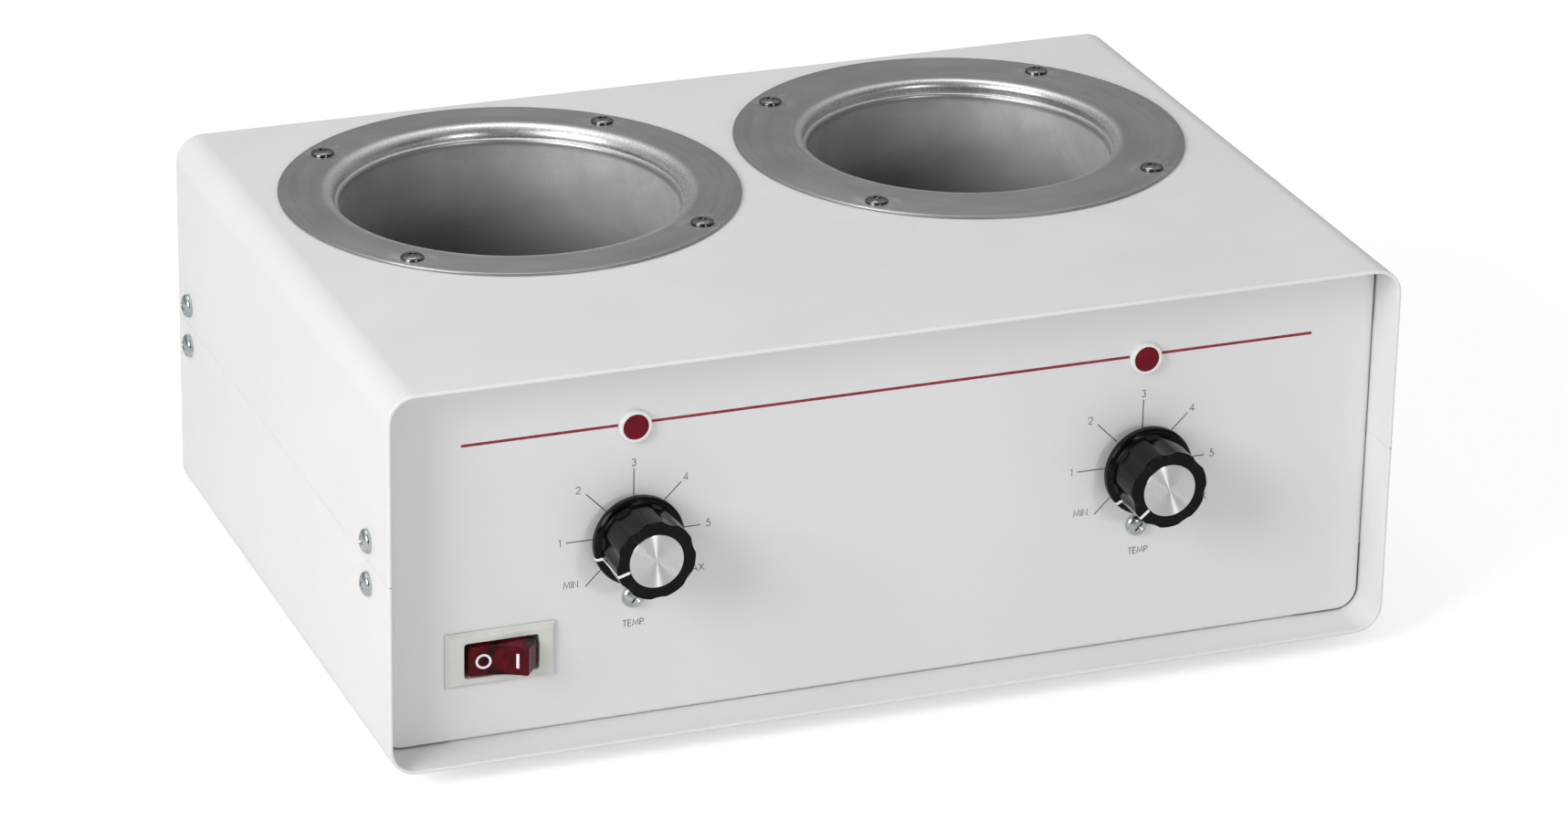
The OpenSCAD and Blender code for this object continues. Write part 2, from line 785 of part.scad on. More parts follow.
// the spindle's own place, turned so that the knob's pointer is +Y
module at_spindle(side) {
    on_panel(dial_x(side), dial_z) rotate([0, 0, -dial_turn(side)]) children();
}

module at_knob(side) {
    at_spindle(side) translate([0, 0, side < 0 ? 0 : right_knob_lift]) children();
}

// the flat that the grub screw bears on is turned to face it
module spindle(side) {
    color("lightgray") at_spindle(side) difference() {
        translate([0, 0, -spindle_in]) cylinder(h = spindle_in + spindle_top, r = spindle_r);
        rotate([0, 0, -grub_turn]) translate([-spindle_r, spindle_r - flat_in, flat_start])
            cube([2 * spindle_r, spindle_r, spindle_top]);
    }
}

module knob(side) {
    skirt_top = skirt_gap + skirt_t;
    color("black") at_knob(side) difference() {
        union() {
            translate([0, 0, skirt_gap]) cylinder(h = skirt_t - skirt_edge, r = skirt_r);
            translate([0, 0, skirt_top - skirt_edge])
                cylinder(h = skirt_edge, r1 = skirt_r, r2 = skirt_r - skirt_edge);
            translate([0, 0, skirt_top]) cylinder(h = grip_foot_h, r1 = skirt_r - skirt_edge, r2 = grip_r);
            translate([0, 0, skirt_top])
                cylinder(h = knob_top - face_drop - skirt_top - face_edge, r = grip_r);
            translate([0, 0, knob_top - face_drop - face_edge])
                cylinder(h = face_edge, r1 = grip_r, r2 = grip_r - face_edge);
        }
        for (k = [0 : flute_count - 1]) rotate([0, 0, (k + 0.5) * 360 / flute_count])
            translate([0, grip_r + flute_r - flute_depth, skirt_top + grip_foot_h / 2])
                cylinder(h = knob_top, r = flute_r);
        translate([0, 0, skirt_gap - over]) cylinder(h = pocket_top - skirt_gap + over, r = pocket_r);
        difference() {
            cylinder(h = spindle_top + 0.5, r = spindle_r + spindle_gap);
            rotate([0, 0, -grub_turn])
                translate([-spindle_r, spindle_r - flat_in + spindle_gap, -over])
                    cube([2 * spindle_r, spindle_r, 2 * knob_top]);
        }
        translate([0, 0, knob_top - cap_t]) cylinder(h = knob_top, r = cap_r + 0.1);
        translate([0, 0, grub_z]) rotate([-90, 0, -grub_turn])
            cylinder(h = skirt_r, r = grub_r + thread_gap);
    }
}

module knob_cap(side) {
    color("lightgray") at_knob(side) translate([0, 0, knob_top - cap_t]) {
        cylinder(h = cap_t - 0.3, r = cap_r);
        translate([0, 0, cap_t - 0.3]) cylinder(h = 0.3, r1 = cap_r, r2 = cap_r - 0.3);
    }
}

module knob_grub_screw(side) {
    color("dimgray") at_knob(side) translate([0, 0, grub_z]) rotate([-90, 0, -grub_turn])
        translate([0, 0, spindle_r - flat_in + spindle_gap]) difference() {
            cylinder(h = grub_l, r = grub_r);
            translate([0, 0, grub_l - 2]) cylinder(h = 2 + over, r = 1.1, $fn = 6);
        }
}

module pilot_bezel(side) {
    color("whitesmoke") on_panel(pilot_x(side), pilot_z) difference() {
        union() {
            translate([0, 0, -shank_l]) cylinder(h = shank_l, r = shank_r);
            cylinder(h = bezel_t - bezel_edge, r = bezel_r);
            translate([0, 0, bezel_t - bezel_edge])
                cylinder(h = bezel_edge, r1 = bezel_r, r2 = bezel_r - bezel_edge);
        }
        translate([0, 0, bezel_t - lens_seat]) cylinder(h = lens_seat + over, r = lens_r + 0.05);
        translate([0, 0, -shank_l - over]) cylinder(h = shank_l + bezel_t, r = shank_r - 0.8);
    }
}

module pilot_lens(side) {
    color("firebrick") on_panel(pilot_x(side), pilot_z) {
        translate([0, 0, bezel_t - lens_seat]) cylinder(h = lens_seat + lens_out, r = lens_r);
        translate([0, 0, -6]) cylinder(h = 6 + bezel_t - lens_seat, r = shank_r - 0.9);
    }
}

module pilot_lamps() {
    color("orange") for (side = sides) on_panel(pilot_x(side), pilot_z) translate([0, 0, -7 - lamp_l]) {
        cylinder(h = lamp_l - lamp_r, r = lamp_r);
        translate([0, 0, lamp_l - lamp_r]) sphere(lamp_r);
        for (x = [-1, 1]) translate([x * 1.4, 0, -7]) cylinder(h = 7.5, r = 0.35);
    }
}

// sprung ring with notches that grips the shank behind the panel
module pilot_push_nuts() {
    color("silver") for (side = sides) on_panel(pilot_x(side), pilot_z)
        translate([0, 0, -sheet - 0.8]) difference() {
            cylinder(h = 0.8, r = push_nut_r);
            translate([0, 0, -over]) cylinder(h = 0.8 + 2 * over, r = shank_r + 0.05);
            for (turn = [0 : 60 : 300]) rotate([0, 0, turn]) translate([shank_r - 0.5, -0.5, -over])
                cube([1.6, 1, 0.8 + 2 * over]);
        }
}

module at_switch() {
    on_panel(switch_x, switch_z) children();
}

// trapezoid across a frame of the given width, with its base on y = 0
module bevel_profile(width) {
    polygon([
        [-width / 2, 0], [width / 2, 0], [width / 2, frame_edge],
        [width / 2 - bevel, frame_t], [bevel - width / 2, frame_t], [-width / 2, frame_edge]
    ]);
}

module switch_housing() {
    color("ivory") at_switch() difference() {
        union() {
            intersection() {
                rotate([90, 0, 0]) linear_extrude(frame_h, center = true) bevel_profile(frame_w);
                rotate([90, 0, 90]) linear_extrude(frame_w, center = true) bevel_profile(frame_h);
            }
            translate([-housing_w / 2, -housing_h / 2, -housing_back])
                cube([housing_w, housing_h, housing_back]);
        }
        translate([0, 0, -cavity_back]) linear_extrude(cavity_back + frame_t + over)
            rounded_rect(cavity_w, cavity_h, 1.2);
        translate([0, 0, -pivot_in]) rotate([90, 0, 0])
            cylinder(h = cavity_h + 2 * trunnion_l + 0.4, r = trunnion_r + trunnion_gap, center = true);
        for (x = [-blade_x, 0, blade_x]) translate([x, 0, -cavity_back])
            cube([tab_t + 0.1, tab_w + 0.1, 6], center = true);
    }
}

// rocker about its own pivot before it is tilted: X to the right and Y out of the panel
module rocker_profile() {
    hollow_x = rocker_face_x - rocker_rim;
    difference() {
        polygon([
            [-rocker_face_x, rocker_face_z], [-rocker_side_x, rocker_side_z],
            [-rocker_foot_x, rocker_foot_z], [rocker_foot_x, rocker_foot_z],
            [rocker_side_x, rocker_side_z], [rocker_face_x, rocker_face_z]
        ]);
        translate([0, rocker_face_z + sqrt(rocker_hollow_r * rocker_hollow_r - hollow_x * hollow_x)])
            circle(rocker_hollow_r, $fn = 180);
    }
}

// the rocker seen from its end: X across it and Y out of the panel
module rocker_section() {
    polygon([
        [-rocker_h / 2, rocker_foot_z - over], [rocker_h / 2, rocker_foot_z - over],
        [rocker_h / 2, rocker_side_z], [rocker_face_h / 2, rocker_face_z + over],
        [-rocker_face_h / 2, rocker_face_z + over], [-rocker_h / 2, rocker_side_z]
    ]);
}

module switch_rocker() {
    color("darkred") at_switch() translate([0, 0, -pivot_in]) rotate([0, -rocker_tilt, 0]) {
        intersection() {
            rotate([90, 0, 0]) linear_extrude(rocker_h + over, center = true) rocker_profile();
            rotate([90, 0, 90]) linear_extrude(4 * rocker_side_x, center = true) rocker_section();
            linear_extrude(4 * rocker_face_z, center = true)
                rounded_rect(2 * rocker_side_x, rocker_h, rocker_corner_r);
        }
        rotate([90, 0, 0]) cylinder(h = cavity_h + 2 * trunnion_l, r = trunnion_r, center = true);
        translate([0, 0, plunger_r - plunger_l]) {
            cylinder(h = plunger_l - plunger_r + rocker_foot_z + over, r = plunger_r);
            sphere(plunger_r);
        }
    }
}

// see-saw plate that the rocker tips over the middle terminal, on the roll across its middle
module switch_contact() {
    color("orange") at_switch() translate([0, 0, -contact_in]) rotate([0, contact_tilt, 0]) {
        cube([contact_l, contact_w, contact_t], center = true);
        rotate([90, 0, 0]) cylinder(h = contact_w, r = contact_roll_r, center = true);
        for (x = [-blade_x, blade_x]) translate([x, 0, -contact_t / 2 - 0.5]) cylinder(h = 0.6, r = 1.5);
    }
}

module switch_terminals() {
    side_top = -contact_in - contact_t / 2 - 0.5 - blade_x * sin(contact_tilt) - contact_clear;
    color("gold") at_switch() {
        translate([-tab_t / 2, -tab_w / 2, -housing_back - blade_l])
            cube([tab_t, tab_w, housing_back + blade_l - contact_in - contact_t / 2 - contact_clear]);
        for (x = [-blade_x, blade_x]) translate([x - tab_t / 2, -tab_w / 2, -housing_back - blade_l])
            cube([tab_t, tab_w, housing_back + blade_l + side_top]);
    }
}

module at_inlet() {
    on_rear(inlet_x, inlet_z) children();
}

module inlet_housing() {
    color("black") at_inlet() difference() {
        union() {
            linear_extrude(inlet_flange_t) rounded_rect(inlet_flange_w, inlet_flange_h, 4);
            translate([-inlet_body_w / 2, -inlet_body_h / 2, -inlet_back])
                cube([inlet_body_w, inlet_body_h, inlet_back + over]);
        }
        translate([0, 0, -socket_floor]) linear_extrude(socket_floor + inlet_flange_t + over) polygon([
            [-socket_w / 2, -socket_h / 2], [socket_w / 2, -socket_h / 2],
            [socket_w / 2, socket_h / 2 - socket_corner], [socket_w / 2 - socket_corner, socket_h / 2],
            [socket_corner - socket_w / 2, socket_h / 2], [-socket_w / 2, socket_h / 2 - socket_corner]
        ]);
        for (x = [-1, 1]) translate([x * inlet_screw_x, 0, -over])
            cylinder(h = inlet_flange_t + 2 * over, r = m3_hole_r);
        for (p = [[-7, -2], [0, 2], [7, -2]]) translate([p[0], p[1], -inlet_back])
            cube([pin_w + 0.1, pin_h + 0.1, 8], center = true);
    }
}

module inlet_pins() {
    color("silver") at_inlet() for (p = [[-7, -2], [0, 2], [7, -2]]) translate([p[0], p[1], 0]) {
        translate([-pin_w / 2, -pin_h / 2, -inlet_back - 1]) cube([pin_w, pin_h, inlet_back + 1 + pin_out]);
        translate([-tab_t / 2, -pin_h / 2, -inlet_back - tab_l]) cube([tab_t, pin_h, tab_l]);
    }
}

module inlet_screws() {
    color("silver") at_inlet() for (x = [-1, 1]) translate([x * inlet_screw_x, 0, inlet_flange_t])
        pan_screw(m3_head_r, m3_head_h, m3_r, inlet_flange_t + sheet + m3_nut_t + 1);
}

module inlet_nuts() {
    color("silver") at_inlet() for (x = [-1, 1]) translate([x * inlet_screw_x, 0, -sheet - m3_nut_t])
        hex_nut(m3_nut_r, m3_nut_t, m3_r + thread_gap);
}

function way_x(k) = (k - (way_count + 1) / 2) * way_pitch;

// block with a wire way from front to back for each circuit and a screw well over each end
module terminal_block() {
    width = way_count * way_pitch;
    color("cornsilk") in_case() translate([0, block_y, sheet]) difference() {
        translate([-width / 2, -block_d / 2, 0]) cube([width, block_d, block_h]);
        for (k = [1 : way_count]) {
            translate([way_x(k), 0, way_h]) rotate([90, 0, 0])
                cylinder(h = block_d + 2 * over, r = way_r, center = true);
            for (y = [-1, 1]) translate([way_x(k), y * block_d / 4, way_h])
                cylinder(h = block_h, r = way_screw_r + 0.1);
        }
        for (k = [1 : way_count - 1]) translate([way_x(k + 0.5), 0, block_h])
            cube([2, block_d + over, 6], center = true);
    }
}

module terminal_screws() {
    color("gold") in_case() for (k = [1 : way_count]) for (y = [-1, 1])
        translate([way_x(k), block_y + y * block_d / 4, sheet + way_h + way_r - 0.5]) difference() {
            cylinder(h = 4, r = way_screw_r);
            translate([0, 0, 4]) cube([2 * way_screw_r + over, 0.6, 2], center = true);
        }
}

// stud welded to the tray, with its ring lug and nut
module earth_stud() {
    color("gold") in_case() translate([stud_x, stud_y, sheet]) {
        cylinder(h = 1, r = 4);
        cylinder(h = 11, r = m4_r);
        translate([0, 0, 1]) difference() {
            union() {
                cylinder(h = 0.8, r = 4.2);
                translate([-1.6, 0, 0]) cube([3.2, lug_l, 0.8]);
            }
            translate([0, 0, -over]) cylinder(h = 3, r = m4_r - 0.2);
        }
        translate([0, 0, 1.8]) hex_nut(m4_nut_r, m4_nut_t, m4_r - 0.2);
    }
}

module wire(path, r = wire_r) {
    swept_tube(smooth_path(path, wire_steps), r, wire_sides);
}

// the ends of the wires: inlet pins, switch blades, thermostat tabs, block ways,
// heater posts, fuse leads and lamp pins
inlet_end = case_d - rear_recess - inlet_back - tab_l - wire_gap;
switch_end = front_recess + housing_back + blade_l + wire_gap;
stat_end = front_recess + sheet + bracket_t + stat_d + tab_l + wire_gap;
lamp_end = front_recess + 14 + lamp_l + wire_gap;
post_z = case_h + band_top - band_h / 2;
way_z = sheet + way_h;
function way_end(k, side) = [way_x(k), block_y + side * (block_d / 2 - 3), way_z];
function way_out(k, side) = [way_x(k), block_y + side * (block_d / 2 + 6), way_z];
function tab_end(side, x, y) = [dial_x(side) + x * tab_x, stat_end, dial_z + y];
function post_end(side, x) = [
    side * well_x + x * post_x,
    well_y - band_out_r(side) - post_out - wire_gap,
    post_z
];

module wire_live() {
    live_x = inlet_x - 7;
    blade = switch_x + blade_x;
    color("saddlebrown") in_case() {
        wire([[live_x, inlet_end, inlet_z - 2], [live_x, inlet_end - 8, inlet_z - 3], [140, 226, 20],
            [120, 190, 8], [60, 130, 6], [-20, 98, 6], [-100, 94, 8], [-136, 78, 22],
            [blade, switch_end + 9, switch_z], [blade, switch_end, switch_z]]);
        wire([[switch_x, switch_end, switch_z], [switch_x, switch_end + 7, switch_z], [-149, 66, 22],
            [-112, 78, 9], [-60, 80, 7], [-26, 80, 7], way_out(1, 1), way_end(1, 1)]);
        wire([way_end(1, -1), way_out(1, -1), [-36, 40, 12], [-60, 56, 28], [-82, 74, 52],
            tab_end(left, 1, tab_low) + [0, 10, -2], tab_end(left, 1, tab_low)]);
        wire([way_end(2, -1), way_out(2, -1), [0, 33, 7], [24, 29, 7], [52, 36, 16], [78, 62, 42],
            tab_end(right, -1, tab_low) + [0, 10, -2], tab_end(right, -1, tab_low)]);
    }
}

module wire_neutral() {
    neutral_x = inlet_x + 7;
    color("royalblue") in_case() {
        wire([[neutral_x, inlet_end, inlet_z - 2], [neutral_x, inlet_end - 8, inlet_z - 3], [152, 224, 20],
            [134, 186, 8], [84, 126, 6], [54, 84, 6], [40, 56, 7], [30, 42, way_z],
            way_out(5, -1), way_end(5, -1)]);
        wire([way_end(3, 1), way_out(3, 1), [-8, 88, 16], [-36, 94, 34], [-64, 94, 60],
            post_end(left, 1) - [0, 10, 3], post_end(left, 1)]);
        wire([way_end(4, 1), way_out(4, 1), [20, 88, 16], [44, 96, 34], [66, 100, 60],
            post_end(right, -1) - [0, 10, 3], post_end(right, -1)]);
        for (side = sides) {
            pin = [pilot_x(side) - side * 1.4, lamp_end, pilot_z];
            end = side < 0 ? 3 : 4;
            wire([pin, pin + [0, 9, -2], pin + [-side * 2, 22, -16], pin - [side * 16, -28, 40],
                [side * 58, 54, 44], [side * 28 + 5, 39, 18], way_out(end, -1) - [0, 1, 0],
                way_end(end, -1)], lamp_wire_r);
        }
    }
}

// thermostat to fuse, fuse to heater post, and thermostat to lamp
module wire_heater() {
    color("white") in_case() for (side = sides) {
        fuse = around(side, fuse_angle(side), bulb_r + clip_gap);
        fuse_top = [fuse[0], fuse[1], case_h + bulb_top + wire_gap];
        fuse_low = [fuse[0], fuse[1], case_h + bulb_top - bulb_l - wire_gap];
        low_tab = tab_end(side, side, tab_low);
        high_tab = tab_end(side, side, tab_high);
        pin = [pilot_x(side) + side * 1.4, lamp_end, pilot_z];
        post = post_end(side, side);
        wire([low_tab, low_tab + [0, 9, 1], low_tab + [side * 10, 24, 24], fuse_top + [side * 3, -24, -18],
            fuse_top + [side * 1, -8, 1], fuse_top + [0, -2, 5], fuse_top]);
        wire([fuse_low, fuse_low - [0, 2, 2], fuse_low - [0, 12, 1], post + [side * 6, -10, 12],
            post - [0, 9, 0], post]);
        wire([high_tab, high_tab + [0, 9, 0], high_tab + [0, 13, 12], pin + [side * 4, 22, -14],
            pin + [0, 9, -1], pin], lamp_wire_r);
    }
}

module wire_earth() {
    lug_end = stud_y + lug_l + wire_gap;
    color("yellowgreen") in_case() wire([
        [inlet_x, inlet_end, inlet_z + 2], [inlet_x, inlet_end - 6, inlet_z + 3], [164, 238, 36],
        [178, 232, 16], [stud_x, lug_end + 10, 4.5], [stud_x, lug_end, sheet + 1.4]
    ]);
}

top_cover();
bottom_tray();
front_panel();
rear_panel();
case_screws(left);  // case_screws_left
case_screws(right);  // case_screws_right
weld_nuts();
feet(foot_front_y);  // feet_front
feet(foot_rear_y);  // feet_rear
foot_screws();
foot_nuts();
well(left);  // well_left
well(right);  // well_right
well_rivets(left);  // well_rivets_left
well_rivets(right);  // well_rivets_right
heater_band(left);  // heater_band_left
heater_band(right);  // heater_band_right
band_bolts();
band_nuts();
insulation(left);  // insulation_left
insulation(right);  // insulation_right
sensor(left);  // sensor_left
sensor(right);  // sensor_right
thermal_fuses();
retaining_clips();
thermostat(left);  // thermostat_left
thermostat(right);  // thermostat_right
thermostat_bracket(left);  // thermostat_bracket_left
thermostat_bracket(right);  // thermostat_bracket_right
bush_nuts();
spindle(left);  // spindle_left
spindle(right);  // spindle_right
thermostat_screws();
knob(left);  // knob_left
knob(right);  // knob_right
knob_cap(left);  // knob_cap_left
knob_cap(right);  // knob_cap_right
knob_grub_screw(left);  // knob_grub_screw_left
knob_grub_screw(right);  // knob_grub_screw_right
pilot_bezel(left);  // pilot_bezel_left
pilot_bezel(right);  // pilot_bezel_right
pilot_lens(left);  // pilot_lens_left
pilot_lens(right);  // pilot_lens_right
pilot_lamps();
pilot_push_nuts();
switch_housing();
switch_rocker();
switch_contact();
switch_terminals();
inlet_housing();
inlet_pins();
inlet_screws();
inlet_nuts();
terminal_block();
terminal_screws();
earth_stud();
wire_live();
wire_neutral();
wire_heater();
wire_earth();
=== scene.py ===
import json
import math

import bmesh
import bpy
from mathutils import Matrix, Vector


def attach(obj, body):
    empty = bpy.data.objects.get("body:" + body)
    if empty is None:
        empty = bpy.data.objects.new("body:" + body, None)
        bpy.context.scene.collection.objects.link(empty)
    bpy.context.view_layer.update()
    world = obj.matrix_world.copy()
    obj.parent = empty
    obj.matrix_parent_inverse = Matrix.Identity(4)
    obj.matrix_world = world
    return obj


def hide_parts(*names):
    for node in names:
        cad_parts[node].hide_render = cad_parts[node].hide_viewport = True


# Looks of a double wax warmer. Sizes are in millimetres and angles in degrees; mm turns them to metres.
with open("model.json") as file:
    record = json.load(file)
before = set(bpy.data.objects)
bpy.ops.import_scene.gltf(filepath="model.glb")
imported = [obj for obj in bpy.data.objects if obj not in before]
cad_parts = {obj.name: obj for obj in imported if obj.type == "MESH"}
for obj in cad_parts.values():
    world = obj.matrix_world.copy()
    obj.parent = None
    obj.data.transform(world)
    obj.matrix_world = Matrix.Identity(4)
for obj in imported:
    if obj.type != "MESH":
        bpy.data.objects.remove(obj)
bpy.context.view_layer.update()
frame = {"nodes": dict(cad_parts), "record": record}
cadNodes = frame["nodes"]
scene = bpy.context.scene
scene.view_settings.view_transform = "Standard"
mm = 0.001

case = {
    "width": 412, "depth": 286, "height": 155, "front": -138.7, "foot": 8,
    "frontRecess": 19, "rearRecess": 10, "sheet": 1.5, "seam": 78.5,
    "dialX": {"left": -103.1, "right": 106.7}, "dialZ": 78,
}
sides = {"left": -1, "right": 1}


def caseSpot(x, y, z):
    return Matrix.Translation(Vector((x, case["front"] + y, case["foot"] + z)) * mm)


# local X to the right, Y up and Z out of the front panel
def onPanel(x, z):
    return caseSpot(x, case["frontRecess"], z) @ spun(90, "X")


def onRear(x, z):
    return caseSpot(x, case["depth"] - case["rearRecess"], z) @ spun(180) @ spun(90, "X")


def spun(angle, axis="Z"):
    return Matrix.Rotation(math.radians(angle), 4, axis)


def shifted(x, y, z):
    return Matrix.Translation((x * mm, y * mm, z * mm))


def smoothBy(mesh, angle):
    mesh.shade_smooth()
    mesh.set_sharp_from_angle(angle=math.radians(angle))


def linked(name, mesh):
    piece = bpy.data.objects.new(name, mesh)
    scene.collection.objects.link(piece)
    return piece


# writes a shape into a mesh without its double points and with its faces turned outwards
def cleanInto(mesh, source, together):
    work = bmesh.new()
    work.from_mesh(source)
    bmesh.ops.remove_doubles(work, verts=work.verts, dist=together)
    bmesh.ops.recalc_face_normals(work, faces=work.faces)
    work.to_mesh(mesh)
    work.free()


def addPiece(name, points, faces, place=None, angle=40):
    place = place or Matrix.Identity(4)
    mesh = bpy.data.meshes.new(name)
    mesh.from_pydata([place @ (Vector(p) * mm) for p in points], [], faces)
    cleanInto(mesh, mesh, 1e-7)
    smoothBy(mesh, angle)
    return linked(name, mesh)


# puts the result of a piece's modifiers into its mesh
def settleModifiers(piece):
    shown = piece.evaluated_get(bpy.context.evaluated_depsgraph_get())
    mesh = bpy.data.meshes.new_from_object(shown)
    piece.modifiers.clear()
    before = piece.data
    piece.data = mesh
    bpy.data.meshes.remove(before)


def dropModel(model):
    mesh = model.data
    bpy.data.objects.remove(model)
    bpy.data.meshes.remove(mesh)


# cuts a piece with another one, which is used up
def cutAway(piece, cutter):
    cut = piece.modifiers.new("cut", "BOOLEAN")
    cut.operation = "DIFFERENCE"
    cut.solver = "EXACT"
    cut.object = cutter
    settleModifiers(piece)
    dropModel(cutter)


# gives a piece its finish, body and slot
def hand(piece, body, slotName, finish=None):
    piece.data.materials.clear()
    piece.data.materials.append(finish or finishes[slotName])
    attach(piece, body)


# a piece in place of a node of the frame, in that node's own slot
def standIn(piece, node, body="case", finish=None):
    hand(piece, body, slotOf[node], finish)
    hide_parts(node)


# a path of (radius, height) points whose third number rounds that corner
def softPath(corners, steps=5):
    path = []
    for i, (r, z, radius) in enumerate(corners):
        here = Vector((r, z))
        if radius == 0 or i in (0, len(corners) - 1):
            path.append((r, z))
            continue
        back = Vector(corners[i - 1][:2]) - here
        ahead = Vector(corners[i + 1][:2]) - here
        reach = radius / math.tan(back.angle(ahead) / 2)
        reach = min(reach, back.length * 0.49, ahead.length * 0.49)
        start = here + back.normalized() * reach
        end = here + ahead.normalized() * reach
        for k in range(steps + 1):
            share = k / steps
            rest = 1 - share
            spot = start * rest ** 2 + here * 2 * share * rest + end * share * share
            path.append((spot.x, spot.y))
    return path


# turns a path about Z; its two ends lie on the axis, or loop closes it
def revolve(path, steps, loop=False):
    points, faces, rings = [], [], []
    for r, z in path:
        if r < 1e-6:
            rings.append([len(points)])
            points.append((0, 0, z))
            continue
        rings.append(list(range(len(points), len(points) + steps)))
        for k in range(steps):
            angle = 2 * math.pi * k / steps
            points.append((r * math.cos(angle), r * math.sin(angle), z))
    pairs = list(zip(rings, rings[1:])) + ([(rings[-1], rings[0])] if loop else [])
    for low, high in pairs:
        for k in range(steps):
            after = (k + 1) % steps
            if len(low) == 1 and len(high) > 1:
                faces.append((low[0], high[k], high[after]))
            elif len(high) == 1 and len(low) > 1:
                faces.append((low[k], low[after], high[0]))
            elif len(low) > 1:
                faces.append((low[k], low[after], high[after], high[k]))
    return points, faces


def arc(cx, cz, radius, start, end, steps):
    turns = [math.radians(start + (end - start) * k / steps) for k in range(steps + 1)]
    return [(cx + radius * math.cos(a), cz + radius * math.sin(a)) for a in turns]


# points of an ellipse about the axis at the given degrees, for domed heads
def ellipse(halfWidth, rise, base, degrees):
    return [(halfWidth * math.cos(a), base + rise * math.sin(a)) for a in map(math.radians, degrees)]


def line(start, end, steps):
    return [tuple(a + (b - a) * k / steps for a, b in zip(start, end)) for k in range(steps + 1)]


# a node's shape with its sharp edges rounded, or only those that lie in one of the planes of y
def softCopy(node, name, radius, planes=None):
    work = bmesh.new()
    work.from_mesh(cadNodes[node].data)
    bmesh.ops.remove_doubles(work, verts=work.verts, dist=2e-6)
    bmesh.ops.dissolve_limit(work, angle_limit=math.radians(0.4), verts=work.verts, edges=work.edges)
    bmesh.ops.recalc_face_normals(work, faces=work.faces)
    chosen = work.edges.layers.float.new("bevel_weight_edge")
    for edge in work.edges:
        sharp = edge.is_manifold and edge.calc_face_angle() > math.radians(32)
        level = planes is None or any(
            all(abs(v.co.y - y * mm) < 1e-5 for v in edge.verts) for y in planes)
        edge[chosen] = 1.0 if sharp and level else 0.0
    mesh = bpy.data.meshes.new(name)
    work.to_mesh(mesh)
    work.free()
    mesh.shade_smooth()
    piece = linked(name, mesh)
    edge = piece.modifiers.new("softEdge", "BEVEL")
    edge.width = radius * mm
    edge.segments = 3
    edge.limit_method = "WEIGHT"
    edge.use_clamp_overlap = False
    flat = piece.modifiers.new("flatFaces", "WEIGHTED_NORMAL")
    flat.keep_sharp = True
    settleModifiers(piece)
    return piece


print("helpers ready, frame loaded")


# node trees: one helper adds a node, one feeds a socket, the others name what they work out
def feed(socket, value):
    if isinstance(value, bpy.types.NodeSocket):
        socket.id_data.links.new(value, socket)
    else:
        socket.default_value = value


def feedAll(node, values):
    for key, value in values.items():
        feed(node.inputs[key], value)


def addNode(tree, kind, values=None, options=None):
    node = tree.nodes.new(kind)
    for key, value in (options or {}).items():
        setattr(node, key, value)
    feedAll(node, values or {})
    return node


# a maths node in the tree that the first socket among its values belongs to
def calc(operation, *values, clamp=False):
    tree = next(v.id_data for v in values if isinstance(v, bpy.types.NodeSocket))
    node = addNode(tree, "ShaderNodeMath", options={"operation": operation, "use_clamp": clamp})
    for socket, value in zip(node.inputs, values):
        feed(socket, value)
    return node.outputs[0]


def times(a, b, clamp=False):
    return calc("MULTIPLY", a, b, clamp=clamp)


def plus(a, b):
    return calc("ADD", a, b)


def minus(a, b):
    return calc("SUBTRACT", a, b)


def timesPlus(a, b, c, clamp=False):
    return calc("MULTIPLY_ADD", a, b, c, clamp=clamp)


# length of the vector (x, y)
def lengthOf(x, y):
    return calc("SQRT", timesPlus(x, x, times(y, y)))


def split(vector):
    return addNode(vector.id_data, "ShaderNodeSeparateXYZ", {"Vector": vector}).outputs


def join(tree, values):
    return addNode(tree, "ShaderNodeCombineXYZ", values).outputs[0]


def spread(value, fromMin, fromMax, toMin=0.0, toMax=1.0, kind="LINEAR"):
    node = addNode(value.id_data, "ShaderNodeMapRange", {
        "Value": value, "From Min": fromMin, "From Max": fromMax, "To Min": toMin, "To Max": toMax},
        {"interpolation_type": kind})
    return node.outputs["Result"]


def noise(vector, scale, detail=2.0, roughness=0.5, distortion=0.0):
    return addNode(vector.id_data, "ShaderNodeTexNoise", {
        "Vector": vector, "Scale": scale, "Detail": detail, "Roughness": roughness,
        "Distortion": distortion}).outputs["Fac"]


# a group with a vector and some numbers as inputs, whose outputs are numbers
def newGroup(name, numbers, outputs):
    group = bpy.data.node_groups.new(name, "ShaderNodeTree")
    group.interface.new_socket("Vector", in_out="INPUT", socket_type="NodeSocketVector")
    for title, value in numbers.items():
        socket = group.interface.new_socket(title, in_out="INPUT", socket_type="NodeSocketFloat")
        socket.default_value = value
    for title in outputs:
        group.interface.new_socket(title, in_out="OUTPUT", socket_type="NodeSocketFloat")
    return group, group.nodes.new("NodeGroupInput").outputs, group.nodes.new("NodeGroupOutput").inputs


